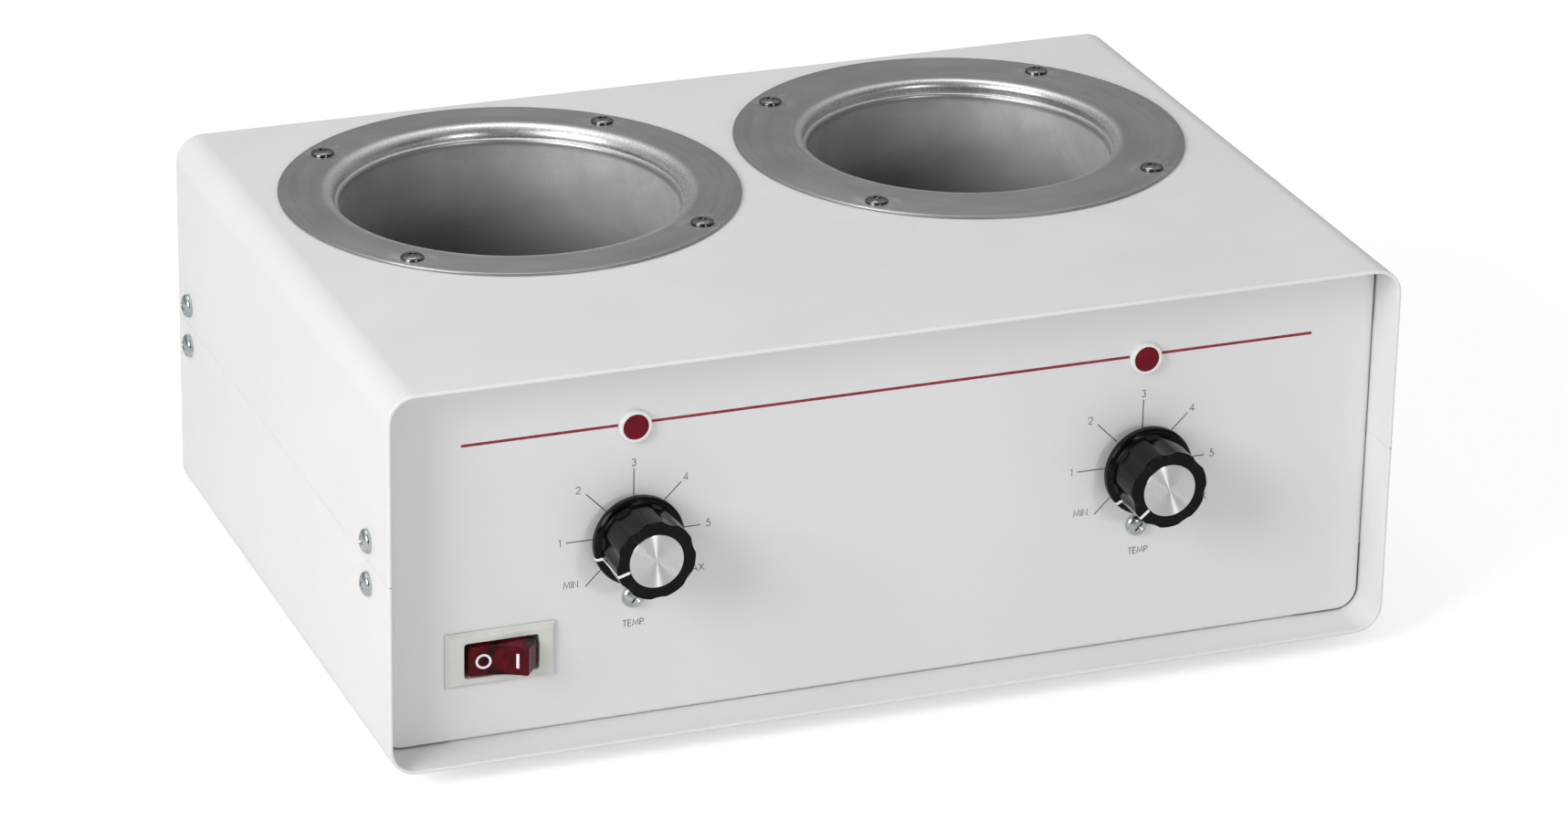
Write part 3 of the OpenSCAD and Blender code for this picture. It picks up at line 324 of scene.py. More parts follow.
# powder coat: orange peel, faint cloudiness of the tone and of the gloss
def makePowderSkin():
    tree, given, out = newGroup(
        "powderSkin", {"Peel Scale": 900.0, "Cloud Scale": 14.0}, ["Peel", "Cloud", "Gloss"])
    peel = noise(given["Vector"], given["Peel Scale"], 2.0, 0.45)
    fine = noise(given["Vector"], times(given["Peel Scale"], 3.1), 1.0)
    feed(out["Peel"], timesPlus(fine, 0.3, peel))
    cloud = noise(given["Vector"], given["Cloud Scale"], 4.0, 0.55)
    feed(out["Cloud"], spread(cloud, 0.3, 0.7))
    gloss = noise(given["Vector"], times(given["Cloud Scale"], 4.0), 5.0, 0.6)
    feed(out["Gloss"], spread(gloss, 0.32, 0.68))
    return tree


# marks of a spinning or turning tool round the Z axis of the given vector
def makeSpunMarks():
    tree, given, out = newGroup(
        "spunMarks", {"Mark Scale": 1500.0, "Arc Breaks": 2.0}, ["Marks", "Bands", "Smear"])
    parts = split(given["Vector"])
    radius = calc("MAXIMUM", lengthOf(parts["X"], parts["Y"]), 1e-5)
    along = calc("DIVIDE", parts["X"], radius)
    across = calc("DIVIDE", parts["Y"], radius)

    def ringNoise(scale, detail, rough, breaks):
        spot = join(tree, {
            "X": times(radius, scale), "Y": times(parts["Z"], scale), "Z": times(along, breaks)})
        node = addNode(tree, "ShaderNodeTexNoise", {
            "Vector": spot, "W": times(across, breaks), "Scale": 1.0,
            "Detail": detail, "Roughness": rough}, {"noise_dimensions": "4D"})
        return node.outputs["Fac"]

    feed(out["Marks"], ringNoise(given["Mark Scale"], 3.0, 0.6, given["Arc Breaks"]))
    wide = times(given["Mark Scale"], 0.1)
    feed(out["Bands"], spread(ringNoise(wide, 3.0, 0.5, given["Arc Breaks"]), 0.3, 0.7))
    smear = times(given["Arc Breaks"], 1.7)
    tall = times(given["Mark Scale"], 0.03)
    feed(out["Smear"], spread(ringNoise(tall, 5.0, 0.62, smear), 0.34, 0.66))
    return tree


# grain of rolled or plated steel, drawn out along the X axis of the given vector
def makeDrawnGrain():
    tree, given, out = newGroup(
        "drawnGrain", {"Grain Scale": 900.0, "Stain Scale": 60.0}, ["Grain", "Stain"])
    drawn = addNode(tree, "ShaderNodeVectorMath", {
        0: given["Vector"], 1: (0.06, 1.0, 1.0)}, {"operation": "MULTIPLY"}).outputs[0]
    feed(out["Grain"], noise(drawn, given["Grain Scale"], 3.0, 0.6))
    stain = noise(given["Vector"], given["Stain Scale"], 4.0, 0.6)
    feed(out["Stain"], spread(stain, 0.35, 0.65))
    return tree


# skin of a moulding: fine pits over a slow mottle
def makeMouldSkin():
    tree, given, out = newGroup(
        "mouldSkin", {"Pit Scale": 2500.0, "Mottle Scale": 90.0}, ["Pits", "Mottle"])
    cell = addNode(tree, "ShaderNodeTexVoronoi", {
        "Vector": given["Vector"], "Scale": given["Pit Scale"], "Smoothness": 0.6},
        {"feature": "SMOOTH_F1"})
    fine = noise(given["Vector"], given["Pit Scale"], 2.0)
    feed(out["Pits"], timesPlus(fine, 0.5, cell.outputs["Distance"]))
    mottle = noise(given["Vector"], given["Mottle Scale"], 4.0, 0.55)
    feed(out["Mottle"], spread(mottle, 0.32, 0.68))
    return tree


# 1 on rubbed convex edges, broken up by noise; where it lightens the ridges of the black knobs it is
# partly a painted highlight
def makeEdgeRubAndSheen():
    tree, given, out = newGroup(
        "edgeRub", {"Break Scale": 400.0, "Start": 0.52, "End": 0.6}, ["Mask"])
    sharp = tree.nodes.new("ShaderNodeNewGeometry").outputs["Pointiness"]
    edge = spread(sharp, given["Start"], given["End"])
    breaks = spread(noise(given["Vector"], given["Break Scale"], 3.0, 0.6), 0.35, 0.62)
    feed(out["Mask"], times(edge, breaks, clamp=True))
    return tree


# 1 where dust settles: faces that look up, in soft patches with fine specks
def makeDustFilm():
    tree, given, out = newGroup(
        "dustFilm", {"Patch Scale": 35.0, "Speck Scale": 1800.0}, ["Mask"])
    normal = tree.nodes.new("ShaderNodeNewGeometry").outputs["Normal"]
    up = split(normal)["Z"]
    patch = spread(noise(given["Vector"], given["Patch Scale"], 5.0, 0.6), 0.4, 0.75)
    speck = spread(noise(given["Vector"], given["Speck Scale"], 1.0), 0.55, 0.75, 0.5, 1.0)
    film = times(times(patch, speck), spread(up, 0.2, 0.9))
    feed(out["Mask"], film)
    return tree


powderSkin = makePowderSkin()
spunMarks = makeSpunMarks()
drawnGrain = makeDrawnGrain()
mouldSkin = makeMouldSkin()
edgeRub = makeEdgeRubAndSheen()
dustFilm = makeDustFilm()


def clearedTree(owner):
    owner.use_nodes = True
    owner.node_tree.nodes.clear()
    return owner.node_tree


def newFinish(name):
    finish = bpy.data.materials.new(name)
    tree = clearedTree(finish)
    shader = tree.nodes.new("ShaderNodeBsdfPrincipled")
    tree.links.new(shader.outputs[0], tree.nodes.new("ShaderNodeOutputMaterial").inputs["Surface"])
    return finish, shader, tree.nodes.new("ShaderNodeTexCoord").outputs["Object"]


def grey(level):
    return (level, level, level)


# the object coordinates moved to a centre and turned, for patterns about an axis
def centred(place, centre, turn=None):
    tree = place.id_data
    moved = addNode(tree, "ShaderNodeMapping", {
        "Vector": place, "Location": tuple(-c * mm for c in centre)}).outputs[0]
    if turn is None:
        return moved
    angles = tuple(math.radians(angle) for angle in turn)
    return addNode(tree, "ShaderNodeMapping", {"Vector": moved, "Rotation": angles}).outputs[0]


def useGroup(group, values):
    node = addNode(values["Vector"].id_data, "ShaderNodeGroup", values, {"node_tree": group})
    return node.outputs


def mixTone(factor, low, high):
    node = addNode(factor.id_data, "ShaderNodeMix", options={"data_type": "RGBA"})
    feed(node.inputs[0], factor)
    for socket, tone in ((node.inputs[6], low), (node.inputs[7], high)):
        feed(socket, tone if isinstance(tone, bpy.types.NodeSocket) else (*tone, 1.0))
    return node.outputs[2]


def bump(height, distance):
    return addNode(height.id_data, "ShaderNodeBump", {
        "Height": height, "Distance": distance * mm}).outputs[0]


def powderCoat(name, low, high, edge, roughness, peelScale, cloudScale, dustScale, peel, dust):
    finish, shader, place = newFinish(name)
    skin = useGroup(powderSkin, {"Vector": place, "Peel Scale": peelScale, "Cloud Scale": cloudScale})
    film = useGroup(dustFilm, {"Vector": place, "Patch Scale": dustScale})["Mask"]
    rubAndSheen = useGroup(edgeRub, {"Vector": place, "Start": 0.53, "End": 0.64})["Mask"]
    tone = mixTone(skin["Cloud"], low, high)
    tone = mixTone(times(rubAndSheen, 0.35), tone, edge)
    tone = mixTone(times(film, dust), tone, (0.6, 0.58, 0.55))
    rough = spread(skin["Gloss"], 0.0, 1.0, *roughness)
    feedAll(shader, {
        "Base Color": tone, "Roughness": timesPlus(film, 0.12, rough), "IOR": 1.5,
        "Normal": bump(skin["Peel"], peel)})
    return finish


def moulded(name, low, high, edge, roughness, pitScale=2500.0, mottleScale=90.0, pits=0.004, rubAndSheen=0.3,
            dust=0.05, ior=1.5, glow=0.0, clear=0.0):
    finish, shader, place = newFinish(name)
    skin = useGroup(mouldSkin, {"Vector": place, "Pit Scale": pitScale, "Mottle Scale": mottleScale})
    rubbedAndSheen = useGroup(edgeRub, {"Vector": place, "Start": 0.53, "End": 0.62})["Mask"]
    film = useGroup(dustFilm, {"Vector": place, "Patch Scale": 60.0})["Mask"]
    tone = mixTone(skin["Mottle"], low, high)
    tone = mixTone(times(rubbedAndSheen, rubAndSheen), tone, edge)
    tone = mixTone(times(film, dust), tone, (0.5, 0.48, 0.45))
    rough = timesPlus(rubbedAndSheen, 0.1, spread(skin["Mottle"], 0.0, 1.0, *roughness))
    feedAll(shader, {
        "Base Color": tone, "Roughness": timesPlus(film, 0.15, rough, clamp=True), "IOR": ior,
        "Subsurface Weight": glow, "Subsurface Scale": 0.001, "Transmission Weight": clear,
        "Normal": bump(skin["Pits"], pits)})
    return finish


def plated(name, low, high, edge, roughness, stainScale=120.0):
    finish, shader, place = newFinish(name)
    grain = useGroup(drawnGrain, {"Vector": place, "Grain Scale": 1500.0, "Stain Scale": stainScale})
    rubAndSheen = useGroup(edgeRub, {"Vector": place, "Start": 0.53, "End": 0.62})["Mask"]
    tone = mixTone(times(rubAndSheen, 0.5), mixTone(grain["Stain"], low, high), edge)
    rough = spread(grain["Grain"], 0.3, 0.7, *roughness)
    feedAll(shader, {
        "Base Color": tone, "Metallic": 1.0, "Roughness": timesPlus(grain["Stain"], 0.08, rough),
        "Normal": bump(grain["Grain"], 0.003)})
    return finish


# highlights stretched round the axis, as on metal turned on a lathe
def turnedMetal(shader, axis, drawn):
    around = addNode(shader.id_data, "ShaderNodeTangent", options={
        "direction_type": "RADIAL", "axis": axis})
    feedAll(shader, {
        "Anisotropic": drawn, "Anisotropic Rotation": 0.25, "Tangent": around.outputs[0]})


# spun aluminium of one well: tool marks, cloudy smears, a painted highlight beside the rivets and on the
# lip, and painted shade on the wall
def spunWell(name, look):
    finish, shader, place = newFinish(name)
    about = centred(place, look["axis"])
    marks = useGroup(spunMarks, {
        "Vector": about, "Mark Scale": look["markScale"], "Arc Breaks": look["breaks"]})
    parts = split(about)

    # 1 on the painted highlight beside the rivets, where the ring is pressed in
    inward = look["rivetCircle"] * math.sqrt(0.5) * mm
    apart = lengthOf(
        minus(calc("ABSOLUTE", parts["X"]), inward), minus(calc("ABSOLUTE", parts["Y"]), inward))
    near = spread(apart, 12 * mm, 4 * mm)
    patch = spread(noise(about, 160.0, 3.0, 0.6, 0.6), 0.45, 0.62)
    level = calc("GREATER_THAN", parts["Z"], -1 * mm)
    paintedRivetHighlight = times(times(near, patch), level, clamp=True)

    # the ring, the lip lightened by a painted highlight, and the wall down to the floor
    deep = spread(parts["Z"], -4.8 * mm, -7.5 * mm)
    lipEnd = look["mouth"] + look["lip"]
    lip = spread(lengthOf(parts["X"], parts["Y"]), (lipEnd + 1.2) * mm, (lipEnd - 2.2) * mm)
    lip = times(lip, spread(parts["Z"], -6 * mm, -3 * mm))
    grains = noise(about, 1100.0, 3.0, 0.7)
    ring = mixTone(marks["Bands"], look["ringLow"], look["ringHigh"])
    paintedLipHighlight = mixTone(spread(grains, 0.35, 0.65), look["paintedLipLow"], look["paintedLipHigh"])
    cloudy = spread(noise(about, 42.0, 5.0, 0.62, 0.5), 0.34, 0.66)
    mottled = timesPlus(marks["Smear"], 0.4, times(cloudy, 0.6))
    wall = mixTone(mottled, look["wallLow"], look["wallHigh"])
    # painted shade: the wall darkens towards the floor of the well
    wall = mixTone(spread(parts["Z"], -12 * mm, -55 * mm), wall, look["floorTone"])
    # painted shade: the wall is darker on the left of the well and lighter on the right, as the light
    # falls
    paintedShadeShare = spread(parts["X"], 0.0, 55 * mm, *look["paintedShadeTones"])
    wall = mixTone(paintedShadeShare, grey(0.0), wall)
    tone = mixTone(deep, mixTone(lip, ring, paintedLipHighlight), wall)
    specks = spread(noise(about, 900.0, 2.0, 0.4), 0.74, 0.78)
    tone = mixTone(times(specks, 0.5), tone, grey(0.12))
    tone = mixTone(times(paintedRivetHighlight, 0.5), tone, grey(0.8))

    rough = spread(marks["Marks"], 0.3, 0.7, *look["roughness"])
    rough = timesPlus(marks["Smear"], 0.1, rough)
    height = timesPlus(marks["Bands"], 2.0, marks["Marks"])
    height = timesPlus(times(grains, lip), 4.0, height)
    # the wall is dull with use, so part of what it reflects is scattered
    feedAll(shader, {
        "Base Color": tone, "Metallic": spread(deep, 0.0, 1.0, 1.0, look["wallMetal"]),
        "Roughness": timesPlus(deep, 0.3, rough), "Normal": bump(height, look["marks"])})
    turnedMetal(shader, "Z", look["drawn"])
    return finish


# face of a knob's inlay, turned on a lathe about the panel's normal
def turnedInlay(name, look):
    finish, shader, place = newFinish(name)
    about = centred(place, look["axis"], (90, 0, 0))
    marks = useGroup(spunMarks, {"Vector": about, "Mark Scale": 5200.0, "Arc Breaks": 0.6})
    feedAll(shader, {
        "Base Color": mixTone(marks["Marks"], look["toneLow"], look["toneHigh"]), "Metallic": 1.0,
        "Roughness": spread(marks["Bands"], 0.0, 1.0, *look["roughness"]),
        "Normal": bump(marks["Marks"], 0.004)})
    turnedMetal(shader, "Y", look["drawn"])
    return finish


# tones of low spots, high spots and rubbed edges (on the black knobs partly a painted highlight), then the
# range of roughness; noise scales are per metre
finishes = {
    "white_enamel": powderCoat(
        "whiteEnamel", (0.80, 0.80, 0.803), (0.84, 0.84, 0.842), grey(0.9), (0.4, 0.5),
        peelScale=620.0, cloudScale=9.0, dustScale=22.0, peel=0.008, dust=0.05),
    "panel_enamel": powderCoat(
        "panelEnamel", (0.77, 0.77, 0.775), (0.80, 0.80, 0.805), grey(0.86), (0.36, 0.46),
        peelScale=680.0, cloudScale=11.0, dustScale=30.0, peel=0.006, dust=0.04),
    "zinc_steel": plated(
        "zincSteel", (0.42, 0.47, 0.49), (0.62, 0.66, 0.67), (0.8, 0.83, 0.83), (0.16, 0.26)),
    "rivet_steel": plated(
        "rivetSteel", (0.11, 0.105, 0.10), (0.26, 0.25, 0.24), (0.65, 0.65, 0.63), (0.05, 0.10),
        stainScale=400.0),
    "band_steel": plated(
        "bandSteel", (0.34, 0.31, 0.28), (0.50, 0.49, 0.47), grey(0.6), (0.3, 0.45)),
    "blackened_steel": plated(
        "blackenedSteel", grey(0.05), grey(0.1), grey(0.3), (0.35, 0.5)),
    "copper": plated(
        "drawnCopper", (0.55, 0.24, 0.13), (0.78, 0.42, 0.28), (0.85, 0.5, 0.36), (0.25, 0.4)),
    "brass_parts": plated(
        "stampedBrass", (0.62, 0.45, 0.2), (0.8, 0.64, 0.34), (0.9, 0.76, 0.48), (0.22, 0.36)),
    "foot_rubber": moulded(
        "footRubber", grey(0.03), grey(0.055), grey(0.12), (0.7, 0.85),
        pits=0.02, pitScale=1500.0, dust=0.2),
    # black phenolic: the lighter grey on its rubbed ridges is partly wear and partly a painted highlight
    "phenolic_black": moulded(
        "blackPhenolic", grey(0.0018), (0.0035, 0.003, 0.0035), grey(0.05), (0.09, 0.15),
        ior=1.26, rubAndSheen=0.4, pits=0.001, dust=0.012),
    "phenolic_brown": moulded(
        "brownPhenolic", (0.14, 0.07, 0.04), (0.22, 0.12, 0.075), (0.35, 0.22, 0.14), (0.35, 0.5),
        pits=0.006),
    "bezel_plastic": moulded(
        "bezelNylon", (0.84, 0.84, 0.835), (0.88, 0.88, 0.875), grey(0.92), (0.25, 0.35),
        pits=0.003, glow=0.1),
    "red_lens": moulded(
        "redLens", (0.14, 0.0005, 0.009), (0.18, 0.001, 0.013), (0.22, 0.005, 0.02), (0.1, 0.18),
        ior=1.3, pits=0.002, mottleScale=160.0),
    "rocker_red": moulded(
        "rockerRed", (0.012, 0.001, 0.002), (0.12, 0.0015, 0.008), (0.35, 0.012, 0.015), (0.08, 0.15),
        ior=1.25, rubAndSheen=0.6, pits=0.001, mottleScale=170.0),
    "switch_ivory": moulded(
        "ivoryNylon", (0.66, 0.67, 0.62), (0.72, 0.73, 0.68), (0.8, 0.8, 0.76), (0.36, 0.46),
        pits=0.006, glow=0.05),
    "inlet_black": moulded(
        "inletBlack", grey(0.02), grey(0.035), grey(0.1), (0.4, 0.55), pits=0.01, dust=0.1),
    "block_nylon": moulded(
        "blockNylon", (0.78, 0.76, 0.68), (0.86, 0.84, 0.77), (0.9, 0.88, 0.82), (0.35, 0.5), glow=0.1),
    "fuse_ceramic": moulded(
        "fuseCeramic", (0.78, 0.76, 0.7), (0.86, 0.84, 0.78), (0.9, 0.88, 0.84), (0.5, 0.65),
        pits=0.008),
    "lamp_glass": moulded(
        "lampGlass", (0.9, 0.8, 0.7), (0.96, 0.88, 0.8), grey(1), (0.02, 0.06), clear=0.9, pits=0.0005),
    "mineral_felt": moulded(
        "mineralFelt", (0.6, 0.56, 0.44), (0.82, 0.78, 0.66), (0.88, 0.85, 0.75), (0.85, 0.95),
        pits=0.25, pitScale=420.0, mottleScale=300.0),
    "wire_brown": moulded(
        "brownWire", (0.19, 0.075, 0.03), (0.25, 0.1, 0.045), (0.35, 0.2, 0.12), (0.38, 0.5)),
    "wire_blue": moulded(
        "blueWire", (0.03, 0.11, 0.38), (0.06, 0.17, 0.48), (0.2, 0.3, 0.55), (0.38, 0.5)),
    "wire_white": moulded(
        "whiteWire", (0.78, 0.77, 0.72), (0.87, 0.86, 0.82), (0.9, 0.9, 0.88), (0.5, 0.65), pits=0.01),
    "wire_green": moulded(
        "greenWire", (0.12, 0.36, 0.05), (0.6, 0.58, 0.06), (0.6, 0.6, 0.3), (0.38, 0.5),
        mottleScale=420.0),
}
dialInk = moulded(
    "dialInk", (0.075, 0.075, 0.08), (0.105, 0.105, 0.11), grey(0.2), (0.45, 0.55), pits=0.002)
stripeInk = moulded(
    "stripeInk", (0.20, 0.002, 0.016), (0.26, 0.004, 0.024), (0.5, 0.1, 0.12), (0.4, 0.5), pits=0.002)
whiteInk = moulded(
    "whiteInk", (0.86, 0.85, 0.86), (0.92, 0.91, 0.92), grey(0.95), (0.35, 0.45), pits=0.002)
print("finishes ready:", len(finishes) + 3)


# every node that stays as it is takes its slot's finish
slotOf = {p["node"]: p["material_slot"] for p in frame["record"]["subparts"]}
for nodeName, node in cadNodes.items():
    if slotOf[nodeName] in finishes:
        node.data.materials.clear()
        node.data.materials.append(finishes[slotOf[nodeName]])


# geometry node trees
def newTree(name, inputs):
    tree = bpy.data.node_groups.new(name, "GeometryNodeTree")
    tree.interface.new_socket("Geometry", in_out="INPUT", socket_type="NodeSocketGeometry")
    for title, kind, value in inputs:
        socket = tree.interface.new_socket(title, in_out="INPUT", socket_type="NodeSocket" + kind)
        if value is not None:
            socket.default_value = value
    tree.interface.new_socket("Geometry", in_out="OUTPUT", socket_type="NodeSocketGeometry")
    return tree, tree.nodes.new("NodeGroupInput").outputs, tree.nodes.new("NodeGroupOutput").inputs


def closeTree(given, out, shape):
    tree = shape.id_data
    single = addNode(tree, "GeometryNodeRealizeInstances", {"Geometry": shape}).outputs[0]
    dressed = addNode(tree, "GeometryNodeSetMaterial", {
        "Geometry": single, "Material": given["Finish"]}).outputs[0]
    feed(out["Geometry"], dressed)
    return tree


# copies of one fastener, one at each point, turned to the point's own direction
def makeFastenAt():
    tree, given, out = newTree("fastenAt", [
        ("Fastener", "Object", None), ("Finish", "Material", None),
        ("Turn Spread", "Float", 180.0), ("Seed", "Int", 7)])
    model = addNode(tree, "GeometryNodeObjectInfo", {"Object": given["Fastener"]})
    facing = addNode(tree, "GeometryNodeInputNamedAttribute", {
        "Name": "facing"}, {"data_type": "FLOAT_VECTOR"})
    aimed = addNode(tree, "FunctionNodeAlignRotationToVector", {
        "Vector": facing.outputs[0]}, {"axis": "Z"})
    wide = times(given["Turn Spread"], math.pi / 180)
    chance = addNode(tree, "FunctionNodeRandomValue", {"Seed": given["Seed"]}, {"data_type": "FLOAT"})
    feed(chance.inputs[3], wide)
    turn = addNode(tree, "FunctionNodeAxisAngleToRotation", {
        "Axis": (0, 0, 1), "Angle": chance.outputs[1]})
    turned = addNode(tree, "FunctionNodeRotateRotation", {
        "Rotation": aimed.outputs[0], "Rotate By": turn.outputs[0]}, {"rotation_space": "LOCAL"})
    copies = addNode(tree, "GeometryNodeInstanceOnPoints", {
        "Points": given["Geometry"], "Instance": model.outputs["Geometry"],
        "Rotation": turned.outputs[0]})
    return closeTree(given, out, copies.outputs[0])


# lines of a dial: bars on an arc, clockwise from the start angle
def makeDialLines():
    tree, given, out = newTree("dialLines", [
        ("Lines", "Int", 7), ("Start Angle", "Float", 135.0), ("Sweep", "Float", 270.0),
        ("Inner Radius", "Float", 0.017), ("Outer Radius", "Float", 0.027),
        ("Line Width", "Float", 0.0004), ("Thickness", "Float", 0.00005), ("Finish", "Material", None)])
    inner, outer = given["Inner Radius"], given["Outer Radius"]
    size = join(tree, {
        "X": given["Line Width"], "Y": minus(outer, inner), "Z": given["Thickness"]})
    bar = addNode(tree, "GeometryNodeMeshCube", {"Size": size})
    middle = join(tree, {"Y": times(plus(outer, inner), 0.5)})
    bar = addNode(tree, "GeometryNodeTransform", {
        "Geometry": bar.outputs["Mesh"], "Translation": middle})
    points = addNode(tree, "GeometryNodeMeshLine", {"Count": given["Lines"], "Offset": (0, 0, 0)})
    index = tree.nodes.new("GeometryNodeInputIndex").outputs[0]
    step = calc("DIVIDE", given["Sweep"], minus(given["Lines"], 1.0))
    turn = minus(given["Start Angle"], times(index, step))
    copies = addNode(tree, "GeometryNodeInstanceOnPoints", {
        "Points": points.outputs[0], "Instance": bar.outputs[0],
        "Rotation": join(tree, {"Z": times(turn, math.pi / 180)})})
    return closeTree(given, out, copies.outputs[0])


# presses evenly spaced round-bottomed flutes into a turned shape about Z
def makeFluteGrip():
    tree, given, out = newTree("fluteGrip", [
        ("Flutes", "Float", 12.0), ("Flute Radius", "Float", 0.007), ("Axis Distance", "Float", 0.0215),
        ("Start Height", "Float", 0.009), ("Run Out", "Float", 0.0012), ("Stop Radius", "Float", 0.0125),
        ("Edge Softness", "Float", 0.0003), ("Finish", "Material", None)])
    spot = split(tree.nodes.new("GeometryNodeInputPosition").outputs[0])
    radius = lengthOf(spot["X"], spot["Y"])
    pitch = calc("DIVIDE", 2 * math.pi, given["Flutes"])
    angle = plus(calc("ARCTAN2", spot["X"], spot["Y"]), 4 * math.pi)
    part = minus(calc("FLOORED_MODULO", angle, pitch), times(pitch, 0.5))
    # how far out the flute's wall lies in the direction of each point
    across = times(given["Axis Distance"], calc("SINE", part))
    inside = minus(times(given["Flute Radius"], given["Flute Radius"]), times(across, across))
    root = calc("SQRT", calc("MAXIMUM", inside, 0.0))
    wall = minus(times(given["Axis Distance"], calc("COSINE", part)), root)
    pressed = calc("SMOOTH_MIN", radius, wall, given["Edge Softness"])
    # the flutes run out above the skirt and touch nothing within the stop radius
    full = plus(given["Start Height"], given["Run Out"])
    rise = spread(spot["Z"], given["Start Height"], full, kind="SMOOTHSTEP")
    keep = calc("LESS_THAN", radius, given["Stop Radius"])
    share = times(rise, minus(1.0, keep))
    change = times(minus(pressed, radius), share)
    scale = calc("DIVIDE", plus(radius, change), calc("MAXIMUM", radius, 1e-6))
    moved = join(tree, {"X": times(spot["X"], scale), "Y": times(spot["Y"], scale), "Z": spot["Z"]})
    shape = addNode(tree, "GeometryNodeSetPosition", {
        "Geometry": given["Geometry"], "Position": moved})
    return closeTree(given, out, shape.outputs[0])


def runTree(piece, tree, values):
    modifier = piece.modifiers.new(tree.name, "NODES")
    modifier.node_group = tree
    for item in tree.interface.items_tree:
        if item.in_out == "INPUT" and item.name in values:
            modifier[item.identifier] = values[item.name]
    settleModifiers(piece)


fastenAt = makeFastenAt()
dialLines = makeDialLines()
fluteGrip = makeFluteGrip()


# one object of loose points, each with the direction that its fastener looks in
def fastenerPoints(name, places):
    mesh = bpy.data.meshes.new(name)
    mesh.from_pydata([place.translation for place in places], [], [])
    facing = mesh.attributes.new("facing", "FLOAT_VECTOR", "POINT")
    for item, place in zip(facing.data, places):
        item.vector = place.to_3x3() @ Vector((0, 0, 1))
    return linked(name, mesh)


# fasteners of one kind in place of a node of the frame
def fasten(name, places, model, node, seed, spreadAngle=180.0):
    piece = fastenerPoints(name, places)
    runTree(piece, fastenAt, {
        "Fastener": model, "Finish": finishes[slotOf[node]], "Turn Spread": spreadAngle, "Seed": seed})
    smoothBy(piece.data, 38)
    standIn(piece, node)


# pan head screw with a tapered cross recess, its head's underside on z = 0
def panScrew(name, head, height, shank, length):
    edge = height * 0.3
    dome = ellipse(head, height - edge, edge, range(9, 90, 9))
    path = softPath([
        (0, -length, 0), (shank, -length, shank * 0.2), (shank, 0, 0.15), (head, 0, 0.25),
        (head, edge, 0.3), (*dome[0], 0)], 3)
    model = addPiece(name, *revolve(path + dome[1:-1] + [(0, height)], 40))
    # one arm of the recess: its floor and its mouth, as height, half length and half width
    floor = (height * 0.42, head * 0.22, head * 0.05)
    mouth = (height + 0.6, head * 0.62, head * 0.1)
    points = []
    for z, x, y in (floor, mouth):
        points += [(x, -y, z), (x, y, z), (-x, y, z), (-x, -y, z)]
    faces = [(0, 1, 2, 3), (4, 5, 6, 7), (0, 1, 5, 4), (1, 2, 6, 5), (2, 3, 7, 6), (3, 0, 4, 7)]
    for angle in (45, 135):
        cutAway(model, addPiece(name + "Cutter", points, faces, spun(angle)))
    model.hide_render = True
    return model


print("node trees ready")

# case shells and panels, with the rounding that powder gives to sheared edges
frontFace, rearFace = case["front"], case["front"] + case["depth"]
shells = {
    "top_cover": ("topCoverShell", 0.5, (frontFace, rearFace)),
    "bottom_tray": ("bottomTrayShell", 0.5, (frontFace, rearFace)),
    "front_panel": ("frontPanelSheet", 0.3, (frontFace + case["frontRecess"],)),
    "rear_panel": ("rearPanelSheet", 0.3, (rearFace - case["rearRecess"],)),
}
for node, (name, radius, planes) in shells.items():
    standIn(softCopy(node, name, radius, planes=planes), node)

# blocks, brackets and mouldings that only need their edges eased
eased = {
    "switch_housing": ("switchHousing", 0.35), "inlet_housing": ("inletHousing", 0.4),
    "thermostat_left": ("thermostatBodyLeft", 0.3), "thermostat_right": ("thermostatBodyRight", 0.3),
    "thermostat_bracket_left": ("bracketLeft", 0.2), "thermostat_bracket_right": ("bracketRight", 0.2),
    "terminal_block": ("terminalBlock", 0.3), "heater_band_left": ("heaterBandLeft", 0.25),
    "heater_band_right": ("heaterBandRight", 0.25), "inlet_pins": ("inletPins", 0.25),
    "feet_front": ("feetFront", 0.5), "feet_rear": ("feetRear", 0.5),
}
for node, (name, radius) in eased.items():
    standIn(softCopy(node, name, radius), node)
print("case, panels and mouldings ready")

# wells: one spun sheet each, from the ring over the rolled lip, collar and step to the floor
wells = {
    "left": {"mouth": 69.5, "lip": 4.8, "x": -96.3},
    "right": {"mouth": 63.4, "lip": 3.1, "x": 96.3},
    "y": 186.6, "ring": 92.2, "sheet": 1.2, "depth": 110, "collar": 3.7, "step": 1.6, "stepGap": 0.5,
    "floorBend": 9, "steps": 320, "rivetCircle": 84.2, "dimple": 0.28, "dimpleReach": 9.0,
}
# the lip tones paint a highlight on the lip, the shade tones paint shade on the left of the wall and the
# floor tone paints shade deep in the well
wellLook = {
    "rivetCircle": wells["rivetCircle"], "markScale": 1300.0, "breaks": 1.6, "marks": 0.006,
    "drawn": 0.2, "wallMetal": 0.45, "roughness": (0.3, 0.4), "paintedShadeTones": (0.60, 1.0),
    "ringLow": (0.375, 0.375, 0.385), "ringHigh": (0.43, 0.43, 0.44),
    "paintedLipLow": grey(0.60), "paintedLipHigh": grey(0.88),
    "wallLow": (0.50, 0.51, 0.50), "wallHigh": (0.72, 0.735, 0.72), "floorTone": (0.27, 0.28, 0.27),
}


